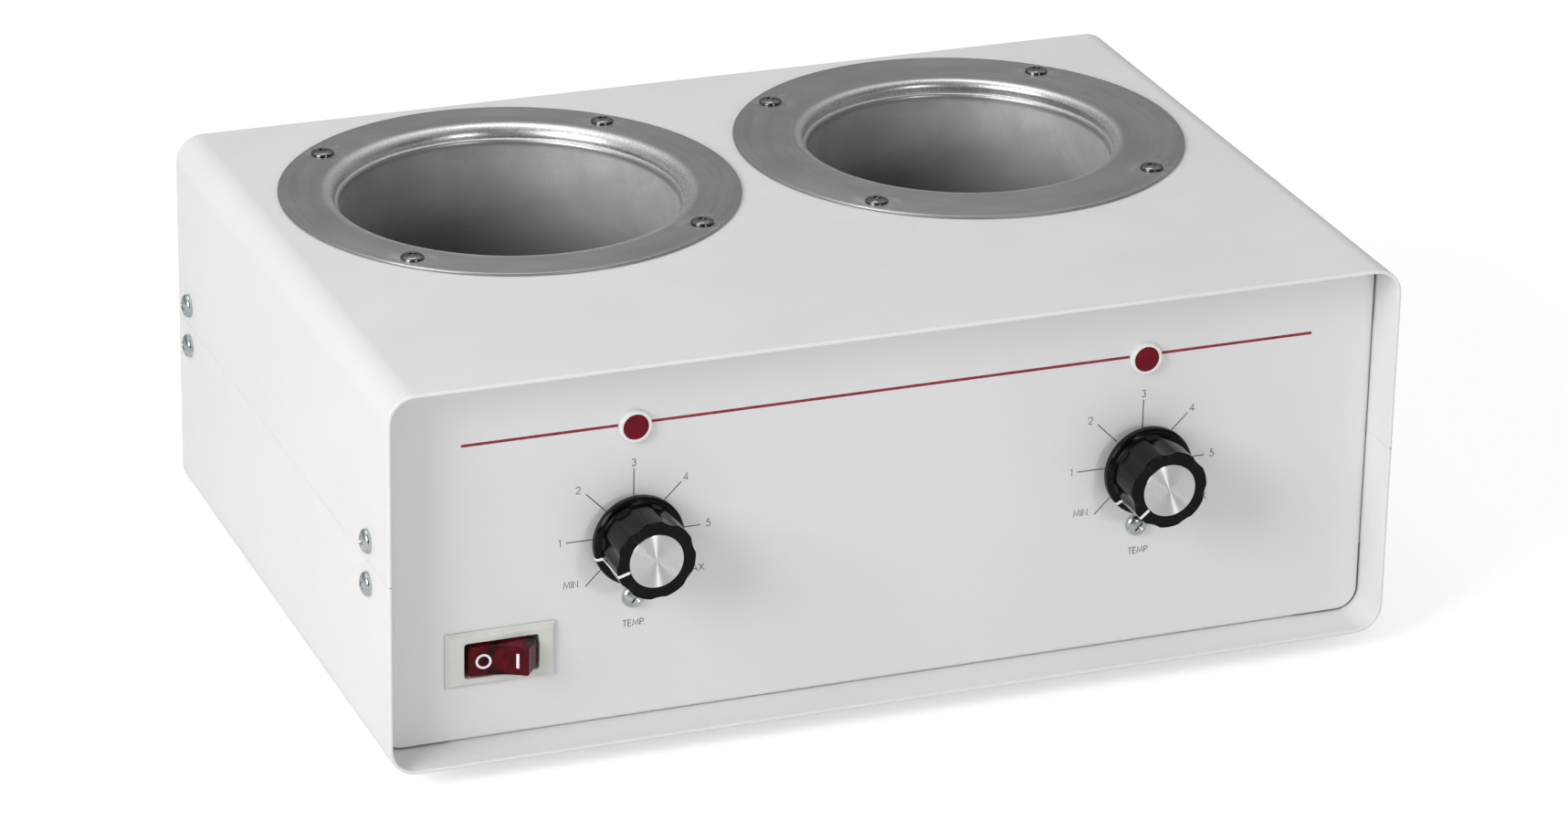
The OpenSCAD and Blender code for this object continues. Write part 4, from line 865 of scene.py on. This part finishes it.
def wellPath(well):
    half, mouth, lip = wells["sheet"] / 2, well["mouth"], well["lip"]
    collar, step, bend, depth = wells["collar"], wells["step"], wells["floorBend"], wells["depth"]
    wallX = mouth - step + half
    stepX, floorX = mouth + half - step / 2, mouth - step + wells["sheet"] - bend
    return (line((wells["ring"] - half, half), (mouth + lip, half), 14)
            + arc(mouth + lip, wells["sheet"] - lip, lip - half, 90, 180, 14)[1:]
            + arc(stepX, -collar, step / 2, 0, -90, 5)
            + arc(stepX, -collar - step, step / 2, 90, 180, 5)[1:]
            + line((wallX, -collar - step - wells["stepGap"]), (wallX, bend - depth), 18)
            + arc(floorX, bend - depth, bend - half, 0, -90, 10)[1:]
            + line((floorX, half - depth), (0, half - depth), 12)[1:])


# both faces of a sheet whose middle follows a path that ends on the axis: the right one, then the left
def sheetSides(path, thickness):
    right, left = [], []
    last = len(path) - 1
    for i, (r, z) in enumerate(path):
        before, after = path[max(i - 1, 0)], path[min(i + 1, last)]
        way = (Vector(after) - Vector(before)).normalized() * thickness / 2
        right.append((max(r + way.y, 0) if i < last else 0, z - way.x))
        left.append((max(r - way.y, 0) if i < last else 0, z + way.x))
    return right, left


# the ring is pressed in a little round each rivet
def dimpled(point, well):
    x, y, z = point
    if z <= -0.5 or math.hypot(x, y) <= well["mouth"] + well["lip"]:
        return point
    inward = wells["rivetCircle"] * math.sqrt(0.5)
    apart = math.hypot(abs(x) - inward, abs(y) - inward)
    share = max(0.0, 1 - apart / wells["dimpleReach"])
    return x, y, z - wells["dimple"] * share * share * (3 - 2 * share)


for side in sides:
    well = wells[side]
    upper, under = sheetSides(wellPath(well), wells["sheet"])
    half = wells["sheet"] / 2
    rimX = wells["ring"] - half
    rim = [(rimX + x, half + z) for x, z in arc(0, 0, half, -60, 60, 4)]
    points, faces = revolve(under[::-1] + rim + upper, wells["steps"])
    axis = caseSpot(well["x"], wells["y"], case["height"])
    name = side.capitalize()
    pot = addPiece("wellPot" + name, [dimpled(point, well) for point in points], faces, axis, 50)
    standIn(pot, "well_" + side, finish=spunWell("spunWell" + name, {
        **wellLook, **well, "axis": tuple(axis.translation / mm)}))
print("wells ready")

# blind rivets, with the broken mandrel in their mouths
rivet = {
    "head": 4.7, "rise": 1.7, "brim": 0.25, "mouth": 1.45, "wall": 0.3, "mouthDrop": 0.09, "mandrel": 1.15,
    "mandrelDrop": 0.5, "shank": 2.4, "tail": 3.3, "tailLength": 4,
}
seat, inside = wells["sheet"], -case["sheet"]
mouthTop, mouthX = seat + rivet["rise"] - rivet["mouthDrop"], rivet["mouth"]
headPath = ellipse(rivet["head"], rivet["rise"] - rivet["brim"], seat + rivet["brim"], range(0, 71, 7))
rivetPath = softPath([
    (0, inside - rivet["tailLength"], 0), (rivet["tail"], inside - rivet["tailLength"], 1.2),
    (rivet["tail"], inside, 0.3), (rivet["shank"], inside, 0.2), (rivet["shank"], seat, 0.1),
    (rivet["head"], seat, 0.05)], 4)
rivetPath += [spot for spot in headPath if spot[0] > mouthX + 0.35]
rivetPath += softPath([
    (mouthX + rivet["wall"], mouthTop - 0.03, 0), (mouthX, mouthTop - 0.1, 0.15),
    (mouthX, mouthTop - 0.9, 0.05), (rivet["mandrel"], mouthTop - 0.9, 0.05),
    (rivet["mandrel"], mouthTop - rivet["mandrelDrop"], 0.1), (0.5, mouthTop - 0.38, 0.1),
    (0, mouthTop - 0.6, 0)], 3)
rivetModel = addPiece("rivetModel", *revolve(rivetPath, 40))
for side in sides:
    axis = caseSpot(wells[side]["x"], wells["y"], case["height"])
    places = [axis @ spun(angle) @ shifted(wells["rivetCircle"], 0, 0) for angle in range(45, 360, 90)]
    fasten("wellRivets" + side.capitalize(), places, rivetModel, "well_rivets_" + side, 3, 360.0)
dropModel(rivetModel)

# screws on the sides, under the dials, in the feet and beside the inlet: head, height, shank, length
screwSizes = {
    "side": (4.8, 3.2, 2.4, 11), "dial": (4.5, 3.2, 2.4, 8.5), "foot": (3.8, 2.6, 1.95, 9.5),
    "inlet": (2.8, 1.9, 1.45, 7.9),
}
sideScrew = {"in": 6.2, "pitch": 17.6}
dialScrew = {"x": (-103.1, 105.7), "drop": 25.7}
footScrew = {"x": 170, "rows": (46, 246), "z": -3}
inletScrew = {"x": 150, "z": 42, "apart": 20, "flange": 3}


def sidePlaces(sign):
    rows = (case["frontRecess"] + sideScrew["in"], case["depth"] - case["rearRecess"] - sideScrew["in"])
    return [caseSpot(sign * case["width"] / 2, y, case["seam"] + step * sideScrew["pitch"] / 2)
            @ spun(90 * sign, "Y") for y in rows for step in (-1, 1)]


# for each piece its kind of screw, the node that it replaces, its seed and its places
screwPieces = {
    "caseScrewsLeft": ("side", "case_screws_left", 10, sidePlaces(-1)),
    "caseScrewsRight": ("side", "case_screws_right", 12, sidePlaces(1)),
    "dialScrews": ("dial", "thermostat_screws", 5, [
        onPanel(x, case["dialZ"] - dialScrew["drop"]) for x in dialScrew["x"]]),
    "footScrews": ("foot", "foot_screws", 9, [
        caseSpot(sign * footScrew["x"], y, footScrew["z"]) @ spun(180, "X")
        for sign in sides.values() for y in footScrew["rows"]]),
    "inletScrews": ("inlet", "inlet_screws", 4, [
        onRear(inletScrew["x"], inletScrew["z"]) @ shifted(x, 0, inletScrew["flange"])
        for x in (-inletScrew["apart"], inletScrew["apart"])]),
}
screwModels = {kind: panScrew(kind + "ScrewModel", *sizes) for kind, sizes in screwSizes.items()}
for name, (kind, node, seed, places) in screwPieces.items():
    fasten(name, places, screwModels[kind], node, seed)
for model in screwModels.values():
    dropModel(model)
print("rivets and screws ready")

# knobs: a turned body, fluted, with its inlay and its white pointer
knob = {
    "turn": {"left": -107, "right": -131}, "lift": {"left": 0, "right": 1.1},
    "skirt": 18.2, "gap": 4.5, "skirtTop": 8.0, "grip": 15.8, "gripBase": 10.2, "face": 26.3,
    "inlay": 10.75, "inlaySeat": 25.7, "inlayTop": 26.5, "pocket": 13.0, "pocketTop": 11.0, "bore": 3.05,
    "boreTop": 24.0, "flutes": 7, "fluteDepth": 0.8, "fluteRadius": 11.1, "fluteStart": 8.7,
    "fluteRunOut": 1.4, "flatFace": 13.3, "fluteEdge": 0.32, "steps": 280, "pointer": 1.15,
    "paint": 0.05, "paintRoot": 0.1, "grubHeight": 17.0, "grubRadius": 2.05, "grubEnds": (1, 22),
}
skirt, gripX, face = knob["skirt"], knob["grip"], knob["face"]
inlayX, inlaySeat, inlayTop = knob["inlay"], knob["inlaySeat"], knob["inlayTop"]
bore, boreTop = knob["bore"], knob["boreTop"]
pocket, pocketTop = knob["pocket"], knob["pocketTop"]
# the hollow foot of the grip and the rounded rim of the skirt
footCorners = [
    (gripX, knob["gripBase"], 0), (gripX + 0.1, knob["skirtTop"] + 0.2, 1.4),
    (skirt - 0.9, knob["skirtTop"], 0.5), (skirt, knob["skirtTop"] - 0.8, 0.8)]
gripPath = softPath([
    (0, inlaySeat, 0), (inlayX + 0.1, inlaySeat, 0.05), (inlayX + 0.1, face, 0.12),
    (gripX, face, 0.55), (gripX, face - 1.2, 0)], 6)
gripPath += line((gripX, face - 1.6), (gripX, knob["gripBase"] + 0.6), 10)
gripPath += softPath(footCorners + [
    (skirt, knob["gap"], 0.5), (pocket, knob["gap"], 0.3), (pocket, pocketTop, 0.5),
    (bore, pocketTop, 0.2), (bore, boreTop, 0), (0, boreTop, 0)], 6)
inlayPath = softPath([
    (0, inlayTop - 0.8, 0), (inlayX, inlayTop - 0.8, 0.05), (inlayX, inlayTop, 0.16),
    (inlayX - 1.0, inlayTop, 0)], 4) + line((inlayX - 1.5, inlayTop), (0, inlayTop), 8)
# the pointer's line follows the ridge from the inlay to the skirt's edge
pointerPath = [(inlayX + 0.25, face)]
pointerPath += softPath([(inlayX + 0.5, face, 0), (gripX, face, 0.55), (gripX, face - 1.2, 0)], 6)
pointerPath += softPath(footCorners + [(skirt, knob["gap"] + 0.7, 0)], 6)
grubX, (grubIn, grubOut) = knob["grubRadius"], knob["grubEnds"]
grubPath = [(0, grubIn), (grubX, grubIn), (grubX, grubOut), (0, grubOut)]


# a strip of paint that stands a little out of the surface under its path, its ends closed
def paintedStrip(path, width):
    points, faces = [], []
    for i, (r, z) in enumerate(path):
        way = Vector(path[min(i + 1, len(path) - 1)]) - Vector(path[max(i - 1, 0)])
        away = Vector((-way.y, way.x)).normalized()
        for lift in (knob["paint"], -knob["paintRoot"]):
            for x in (-width / 2, width / 2):
                points.append((x, r + away.x * lift, z + away.y * lift))
        if i:
            n, p = 4 * i, 4 * i - 4
            faces += [(p, p + 1, n + 1, n), (p + 2, n + 2, n + 3, p + 3),
                      (p, n, n + 2, p + 2), (p + 1, p + 3, n + 3, n + 1)]
    last = 4 * len(path) - 4
    faces += [(0, 2, 3, 1), (last, last + 1, last + 3, last + 2)]
    return points, faces


for side in sides:
    name, body = side.capitalize(), "knob_" + side
    axis = (onPanel(case["dialX"][side], case["dialZ"]) @ shifted(0, 0, knob["lift"][side])
            @ spun(-knob["turn"][side]))
    grip = addPiece("knob" + name, *revolve(gripPath, knob["steps"]), None, 35)
    runTree(grip, fluteGrip, {
        "Flutes": float(knob["flutes"]), "Flute Radius": knob["fluteRadius"] * mm,
        "Axis Distance": (gripX + knob["fluteRadius"] - knob["fluteDepth"]) * mm,
        "Start Height": knob["fluteStart"] * mm, "Run Out": knob["fluteRunOut"] * mm,
        "Stop Radius": knob["flatFace"] * mm, "Edge Softness": knob["fluteEdge"] * mm,
        "Finish": finishes["phenolic_black"]})
    # the hole of the grub screw lies in the middle of a flute
    grub = spun(-4.5 * 360 / knob["flutes"]) @ shifted(0, 0, knob["grubHeight"]) @ spun(-90, "X")
    cutAway(grip, addPiece("grubCutter", *revolve(grubPath, 32), grub))
    grip.data.transform(axis)
    smoothBy(grip.data, 35)
    standIn(grip, "knob_" + side, body)

    inlay = addPiece("knobInlay" + name, *revolve(inlayPath, 128), axis)
    standIn(inlay, "knob_cap_" + side, body, turnedInlay("turnedInlay" + name, {
        "axis": tuple(axis.translation / mm), "toneLow": (0.72, 0.71, 0.72),
        "toneHigh": (0.85, 0.84, 0.85), "roughness": (0.27, 0.31), "drawn": 1.0}))

    pointer = addPiece("knobPointer" + name, *paintedStrip(pointerPath, knob["pointer"]), axis, 50)
    hand(pointer, body, "phenolic_black", whiteInk)
print("knobs ready")

# pilot lights: a rounded bezel and a low domed lens
pilot = {
    "x": {"left": -103.1, "right": 106.4}, "z": 122.9, "bezel": 6.5, "rise": 2.4, "shank": 4.9,
    "shankLength": 20, "bore": 4.1, "lens": 5.05, "lensStem": 4.0, "stemLength": 6, "seat": 1.2,
    "out": 0.15, "dome": 0.35,
}
lensX, shankX, boreX = pilot["lens"], pilot["shank"], pilot["bore"]
rise, seatZ, shankEnd = pilot["rise"], pilot["rise"] - pilot["seat"], -pilot["shankLength"]
bezelPath = softPath([
    (lensX + 0.05, seatZ, 0), (lensX + 0.05, rise, 0.25), (pilot["bezel"], rise, 0.8),
    (pilot["bezel"], 0, 0.1), (shankX, 0, 0.1), (shankX, shankEnd, 0.3), (boreX, shankEnd, 0.1),
    (boreX, seatZ, 0.05), (lensX + 0.05, seatZ, 0)], 5)
domeBase = rise + pilot["out"] - pilot["dome"]
lensPath = softPath([
    (0, -pilot["stemLength"], 0), (pilot["lensStem"], -pilot["stemLength"], 0.2),
    (pilot["lensStem"], seatZ, 0.1), (lensX, seatZ, 0.05), (lensX, domeBase, 0.1)], 3)
lensPath += [(lensX * math.sin(a), domeBase + pilot["dome"] * math.cos(a) ** 0.8)
             for a in map(math.radians, range(81, 0, -9))]
lensPath.append((0, rise + pilot["out"]))
for side in sides:
    spot = onPanel(pilot["x"][side], pilot["z"])
    bezel = addPiece("pilotBezel" + side.capitalize(), *revolve(bezelPath[:-1], 72, True), spot)
    standIn(bezel, "pilot_bezel_" + side)
    lens = addPiece("pilotLens" + side.capitalize(), *revolve(lensPath, 64), spot)
    standIn(lens, "pilot_lens_" + side)
print("pilot lights ready")

# rocker: a hollow-faced block with rounded edges, tilted to its O end
rocker = {
    "x": -156.2, "z": 35.7, "pivot": 1.9, "tilt": 16.5, "hollow": 33, "rim": 0.3, "edge": 0.45,
    "foot": {"halfX": 9.0, "halfY": 6.7, "corner": 2.2, "z": -4.0},
    "side": {"halfX": 14.55, "halfY": 6.7, "corner": 2.2, "z": 1.0},
    "face": {"halfX": 11.4, "halfY": 6.0, "corner": 1.0, "z": 9.4},
    "trunnion": 1.4, "trunnionLength": 8.3, "plunger": 1.25, "plungerLength": 8.3,
}
rockerSpot = (onPanel(rocker["x"], rocker["z"]) @ shifted(0, 0, -rocker["pivot"])
              @ spun(-rocker["tilt"], "Y"))


def rockerFace(x):
    end, radius = rocker["face"]["halfX"] - rocker["rim"], rocker["hollow"]
    x = min(abs(x), end)
    return rocker["face"]["z"] + math.sqrt(radius ** 2 - end ** 2) - math.sqrt(radius ** 2 - x * x)


# rectangle with rounded corners, with as many points on every layer of a stack
def roundedOutline(halfX, halfY, radius, steps=8, along=28, across=10):
    outline = []
    for k, (sx, sy) in enumerate(((1, 1), (-1, 1), (-1, -1), (1, -1))):
        centre = Vector((sx * (halfX - radius), sy * (halfY - radius)))
        for i in range(steps + 1):
            a = math.radians(90 * k + 90 * i / steps)
            outline.append((centre.x + radius * math.cos(a), centre.y + radius * math.sin(a)))
        reach = halfX - radius if k % 2 == 0 else halfY - radius
        count = along if k % 2 == 0 else across
        way = Vector((-sx, 0)) if k % 2 == 0 else Vector((0, -sy))
        start = Vector(outline[-1])
        for i in range(1, count):
            outline.append(tuple(start + way * 2 * reach * i / count))
    return outline


def stackOutlines(layers):
    points, faces, count = [], [], len(layers[0])
    for layer in layers:
        points += layer
    for i in range(len(layers) - 1):
        low, high = i * count, (i + 1) * count
        for k in range(count):
            after = (k + 1) % count
            faces.append((low + k, low + after, high + after, high + k))
    faces.append(tuple(range(count)))
    faces.append(tuple(range((len(layers) - 1) * count, len(layers) * count)))
    return points, faces


# one layer of the rocker between two of its outlines, at the height that heightAt gives for x
def between(low, high, share, heightAt):
    size = [low[key] + (high[key] - low[key]) * share for key in ("halfX", "halfY", "corner")]
    return [(x, y, heightAt(x)) for x, y in roundedOutline(*size)]


foot, flank, top, edge = rocker["foot"], rocker["side"], rocker["face"], rocker["edge"]
layers = []
for share in (0.0, 0.5, 0.95):
    layers.append(between(foot, flank, share, lambda x: foot["z"] + (flank["z"] - foot["z"]) * share))
for share in (0.04, 0.2, 0.4, 0.6, 0.8, 1.0):
    layers.append(between(
        flank, top, share, lambda x: flank["z"] + (rockerFace(x) - edge - flank["z"]) * share))
# the rounded edge of the face, in steps of its angle
for angle in range(15, 91, 15):
    inset = edge * (1 - math.cos(math.radians(angle)))
    drop = edge * (1 - math.sin(math.radians(angle)))
    outline = roundedOutline(top["halfX"] - inset, top["halfY"] - inset, top["corner"] - inset)
    layers.append([(x, y, rockerFace(x) - drop) for x, y in outline])
for shrink in (0.92, 0.8, 0.65, 0.5, 0.35, 0.2, 0.06):
    outline = roundedOutline(*((top[key] - edge) * shrink for key in ("halfX", "halfY", "corner")))
    layers.append([(x, y, rockerFace(x)) for x, y in outline])
block = addPiece("switchRocker", *stackOutlines(layers), rockerSpot, 50)
pinX, pinEnd = rocker["trunnion"], rocker["trunnionLength"]
pinPath = softPath([(0, -pinEnd, 0), (pinX, -pinEnd, 0.3), (pinX, pinEnd, 0.3), (0, pinEnd, 0)], 3)
pin = addPiece("rockerPin", *revolve(pinPath, 32), rockerSpot @ spun(90, "X"))
tipX, tipTop = rocker["plunger"], foot["z"] + 1
tipPath = [(0, tipTop), (tipX, tipTop)] + arc(0, tipX - rocker["plungerLength"], tipX, 0, -90, 8)
tip = addPiece("rockerPlunger", *revolve(tipPath, 28), rockerSpot)
for piece in (block, pin, tip):
    hand(piece, "rocker", "rocker_red")
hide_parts("switch_rocker")
print("rocker ready")

# printed marks: thin ribbons of ink laid on a surface by the lift function
strokes = {
    "1": (0.3, [[(0.04, 0.8), (0.26, 1.0), (0.26, 0.0)]]),
    "2": (0.62, [[*arc(0.3, 0.7, 0.3, 170, -38, 14), (0.02, 0.0), (0.62, 0.0)]]),
    "3": (0.56, [[*arc(0.27, 0.77, 0.23, 160, -90, 12), *arc(0.27, 0.27, 0.27, 90, -160, 14)]]),
    "4": (0.66, [[(0.48, 0.0), (0.48, 1.0), (0.0, 0.28), (0.66, 0.28)]]),
    "5": (0.6, [[(0.54, 1.0), (0.17, 1.0), *arc(0.27, 0.32, 0.32, 118, -150, 14)]]),
    "M": (0.92, [[(0.0, 0.0), (0.12, 1.0), (0.46, 0.15), (0.8, 1.0), (0.92, 0.0)]]),
    "I": (0.0, [[(0.0, 0.0), (0.0, 1.0)]]),
    "N": (0.64, [[(0.0, 0.0), (0.0, 1.0), (0.64, 0.0), (0.64, 1.0)]]),
    "A": (0.78, [[(0.0, 0.0), (0.39, 1.0), (0.78, 0.0)], [(0.13, 0.33), (0.65, 0.33)]]),
    "X": (0.7, [[(0.0, 0.0), (0.7, 1.0)], [(0.7, 0.0), (0.0, 1.0)]]),
    "T": (0.56, [[(0.0, 1.0), (0.56, 1.0)], [(0.28, 1.0), (0.28, 0.0)]]),
    "E": (0.46, [[(0.46, 1.0), (0.0, 1.0), (0.0, 0.0), (0.46, 0.0)], [(0.0, 0.52), (0.42, 0.52)]]),
    "P": (0.5, [[(0.0, 0.0), (0.0, 1.0), *arc(0.24, 0.74, 0.26, 90, -90, 12), (0.0, 0.48)]]),
    ".": (0.05, [[(0.0, 0.03), (0.05, 0.03)]]),
}
dialPrint = {
    "height": 2.85, "stroke": 0.33, "gap": 0.24, "thickness": 0.04,
    "numerals": {
        "1": (-29.5, 0.1), "2": (-22.2, 21.1), "3": (0.0, 29.6), "4": (20.9, 20.9), "5": (30.2, 0.5)},
    "words": {"MIN.": (-24.6, -17.6, 2.75), "MAX.": (25.0, -17.6, 2.75), "TEMP.": (0.6, -37.0, 2.6)},
    "lineInner": 15.0, "lineOuter": 27.0, "lineWidth": 0.42,
}
stripe = {"left": (-171.4, 123.5), "right": (177.5, 123.9), "width": 1.15}
marks = {
    "ringX": -5.85, "ringRadius": 2.6, "ringWidth": 0.88, "barX": 7.05, "barHeight": 6.0, "barWidth": 1.1,
}


# adds a ribbon of four points for each point of its path, and joins its ends or closes them off
def ribbon(path, width, lift, points, faces, closed=False):
    start, count = len(points), len(path)
    for i, spot in enumerate(path):
        here = Vector(spot)
        before = here - Vector(path[(i - 1) % count] if closed or i else spot)
        after = Vector(path[(i + 1) % count] if closed or i < count - 1 else spot) - here
        before = before.normalized() if before.length > 1e-9 else after.normalized()
        after = after.normalized() if after.length > 1e-9 else before
        way = (before + after).normalized() if (before + after).length > 0.2 else before
        square = Vector((-way.y, way.x)) * (width / 2) / max(way.dot(before), 0.55)
        for side in (here + square, here - square):
            points += lift(side.x, side.y)
    for i in range(count if closed else count - 1):
        p, n = start + 4 * i, start + 4 * ((i + 1) % count)
        faces += [(p, p + 2, n + 2, n), (p + 1, n + 1, n + 3, p + 3),
                  (p, n, n + 1, p + 1), (p + 2, p + 3, n + 3, n + 2)]
    if not closed:
        end = start + 4 * (count - 1)
        faces += [(start, start + 1, start + 3, start + 2), (end, end + 2, end + 3, end + 1)]


def onFlat(x, y):
    return [(x, y, dialPrint["thickness"]), (x, y, -0.02)]


def onRocker(x, y):
    return [(x, y, rockerFace(x) + 0.03), (x, y, rockerFace(x) - 0.1)]


def writeText(text, x, y, size, gap, points, faces):
    width = sum(strokes[c][0] * size for c in text) + gap * size * (len(text) - 1)
    left, base = x - width / 2, y - size / 2
    for c in text:
        for path in strokes[c][1]:
            spots = [(left + across * size, base + up * size) for across, up in path]
            ribbon(spots, dialPrint["stroke"], onFlat, points, faces)
        left += strokes[c][0] * size + gap * size


for side in sides:
    spot = onPanel(case["dialX"][side], case["dialZ"])
    points, faces = [], []
    for text, (x, y) in dialPrint["numerals"].items():
        writeText(text, x, y, dialPrint["height"], 0, points, faces)
    for text, (x, y, height) in dialPrint["words"].items():
        writeText(text, x, y, height, dialPrint["gap"], points, faces)
    numerals = addPiece("dialNumerals" + side.capitalize(), points, faces, spot, 30)
    hand(numerals, "case", "panel_enamel", dialInk)
    lines = addPiece("dialLines" + side.capitalize(), [(0, 0, 0)], [])
    runTree(lines, dialLines, {
        "Lines": 7, "Start Angle": 135.0, "Sweep": 270.0, "Inner Radius": dialPrint["lineInner"] * mm,
        "Outer Radius": dialPrint["lineOuter"] * mm, "Line Width": dialPrint["lineWidth"] * mm,
        "Thickness": 2 * dialPrint["thickness"] * mm, "Finish": dialInk})
    lines.data.transform(spot)
    hand(lines, "case", "panel_enamel", dialInk)

points, faces = [], []
ribbon([stripe["left"], stripe["right"]], stripe["width"], onFlat, points, faces)
band = addPiece("panelStripe", points, faces, onPanel(0, 0), 30)
hand(band, "case", "panel_enamel", stripeInk)

points, faces = [], []
ring = arc(marks["ringX"], 0, marks["ringRadius"], 0, 352.5, 47)
ribbon(ring, marks["ringWidth"], onRocker, points, faces, True)
bar = [(marks["barX"], -marks["barHeight"] / 2), (marks["barX"], marks["barHeight"] / 2)]
ribbon(bar, marks["barWidth"], onRocker, points, faces)
hand(addPiece("rockerMarks", points, faces, rockerSpot, 30), "rocker", "rocker_red", whiteInk)
print("printed marks ready")

# wires get round sides from subdivision, and the capillaries only smooth ones
for node in ("wire_live", "wire_neutral", "wire_heater", "wire_earth", "sensor_left", "sensor_right"):
    kind, part = node.split("_")
    mesh = bpy.data.meshes.new(kind + part.capitalize())
    cleanInto(mesh, cadNodes[node].data, 1e-6)
    mesh.shade_smooth()
    tube = linked(mesh.name, mesh)
    if kind == "wire":
        rounder = tube.modifiers.new("rounder", "SUBSURF")
        rounder.levels = rounder.render_levels = 1
        settleModifiers(tube)
    else:
        smoothBy(mesh, 50)
    standIn(tube, node)
print("wiring ready")

# studio: pale floor, white surround and soft light from the left
studio = {
    "target": (-13.88, -45.06, 94.40), "azimuth": -0.370934, "elevation": 0.404043, "roll": 0.019496,
    "distance": 2413.61, "lens": 6723.72 * 36 / 1717, "floorSize": 4000,
    "ambient": 0.45, "floorTone": 0.8, "floorGlow": 0.5,
}


# 1 for the rays that show a surface itself, straight or through clear pieces
def shownIn(rays):
    return calc("MAXIMUM", rays["Is Camera Ray"], rays["Is Transmission Ray"])


far = studio["floorSize"]
floor = addPiece("studioFloor", [(-far, -far, 0), (far, -far, 0), (far, far, 0), (-far, far, 0)],
                 [(0, 1, 2, 3)])
paper = bpy.data.materials.new("floorPaper")
tree = clearedTree(paper)
seen = shownIn(tree.nodes.new("ShaderNodeLightPath").outputs)
base = addNode(tree, "ShaderNodeBsdfDiffuse", {"Color": (*[studio["floorTone"]] * 3, 1.0)})
glow = addNode(tree, "ShaderNodeEmission", {"Strength": times(seen, studio["floorGlow"])})
both = addNode(tree, "ShaderNodeAddShader", {0: base.outputs[0], 1: glow.outputs[0]})
addNode(tree, "ShaderNodeOutputMaterial", {"Surface": both.outputs[0]})
floor.data.materials.append(paper)

# in reflections the surround is darker in front and near the horizon
world = bpy.data.worlds.new("studioWorld")
scene.world = world
tree = clearedTree(world)
rays = tree.nodes.new("ShaderNodeLightPath").outputs
seen = shownIn(rays)
towards = split(tree.nodes.new("ShaderNodeTexCoord").outputs["Generated"])
behind = spread(towards["Y"], -0.55, 0.25, 0.15, 1.0)
above = spread(towards["Z"], 0.4, 0.9, 0.3, 1.0)
glossy = times(rays["Is Glossy Ray"], times(behind, above))
strength = calc("MAXIMUM", calc("MAXIMUM", seen, glossy),
                times(minus(1.0, rays["Is Glossy Ray"]), studio["ambient"]))
sky = addNode(tree, "ShaderNodeBackground", {"Color": (1, 1, 1, 1), "Strength": strength})
addNode(tree, "ShaderNodeOutputWorld", {"Surface": sky.outputs[0]})

lamps = {
    "key": {"at": (-1950, -1000, 1150), "aim": (0, 0, 60), "size": (1200, 1100), "power": 32},
    "front": {"at": (460, -2270, 750), "aim": (0, -120, 80), "size": (240, 220), "power": 7.5},
    "top": {"at": (-200, 500, 1900), "aim": (0, 0, 100), "size": (1500, 700), "power": 5.4},
}
for name, lamp in lamps.items():
    light = bpy.data.lights.new(name + "Lamp", "AREA")
    light.shape = "RECTANGLE"
    light.size, light.size_y = (s * mm for s in lamp["size"])
    light.energy = lamp["power"]
    holder = bpy.data.objects.new(name + "Lamp", light)
    holder.location = Vector(lamp["at"]) * mm
    holder.rotation_euler = (Vector(lamp["aim"]) - Vector(lamp["at"])).to_track_quat("-Z", "Y").to_euler()
    scene.collection.objects.link(holder)

azimuth, elevation, roll = studio["azimuth"], studio["elevation"], studio["roll"]
level = Vector((math.sin(azimuth), -math.cos(azimuth), 0))
back = level * math.cos(elevation) + Vector((0, 0, math.sin(elevation)))
right = Vector((math.cos(azimuth), math.sin(azimuth), 0))
up = back.cross(right)
turnedRight = right * math.cos(roll) + up * math.sin(roll)
turnedUp = up * math.cos(roll) - right * math.sin(roll)
camera = bpy.data.objects.new("photoCamera", bpy.data.cameras.new("photoCamera"))
camera.data.sensor_width = 36
camera.data.lens = studio["lens"]
camera.data.clip_end = 50
eye = (Vector(studio["target"]) + back * studio["distance"]) * mm
camera.matrix_world = Matrix.Translation(eye) @ Matrix((turnedRight, turnedUp, back)).transposed().to_4x4()
scene.collection.objects.link(camera)
scene.camera = camera
print("studio ready")
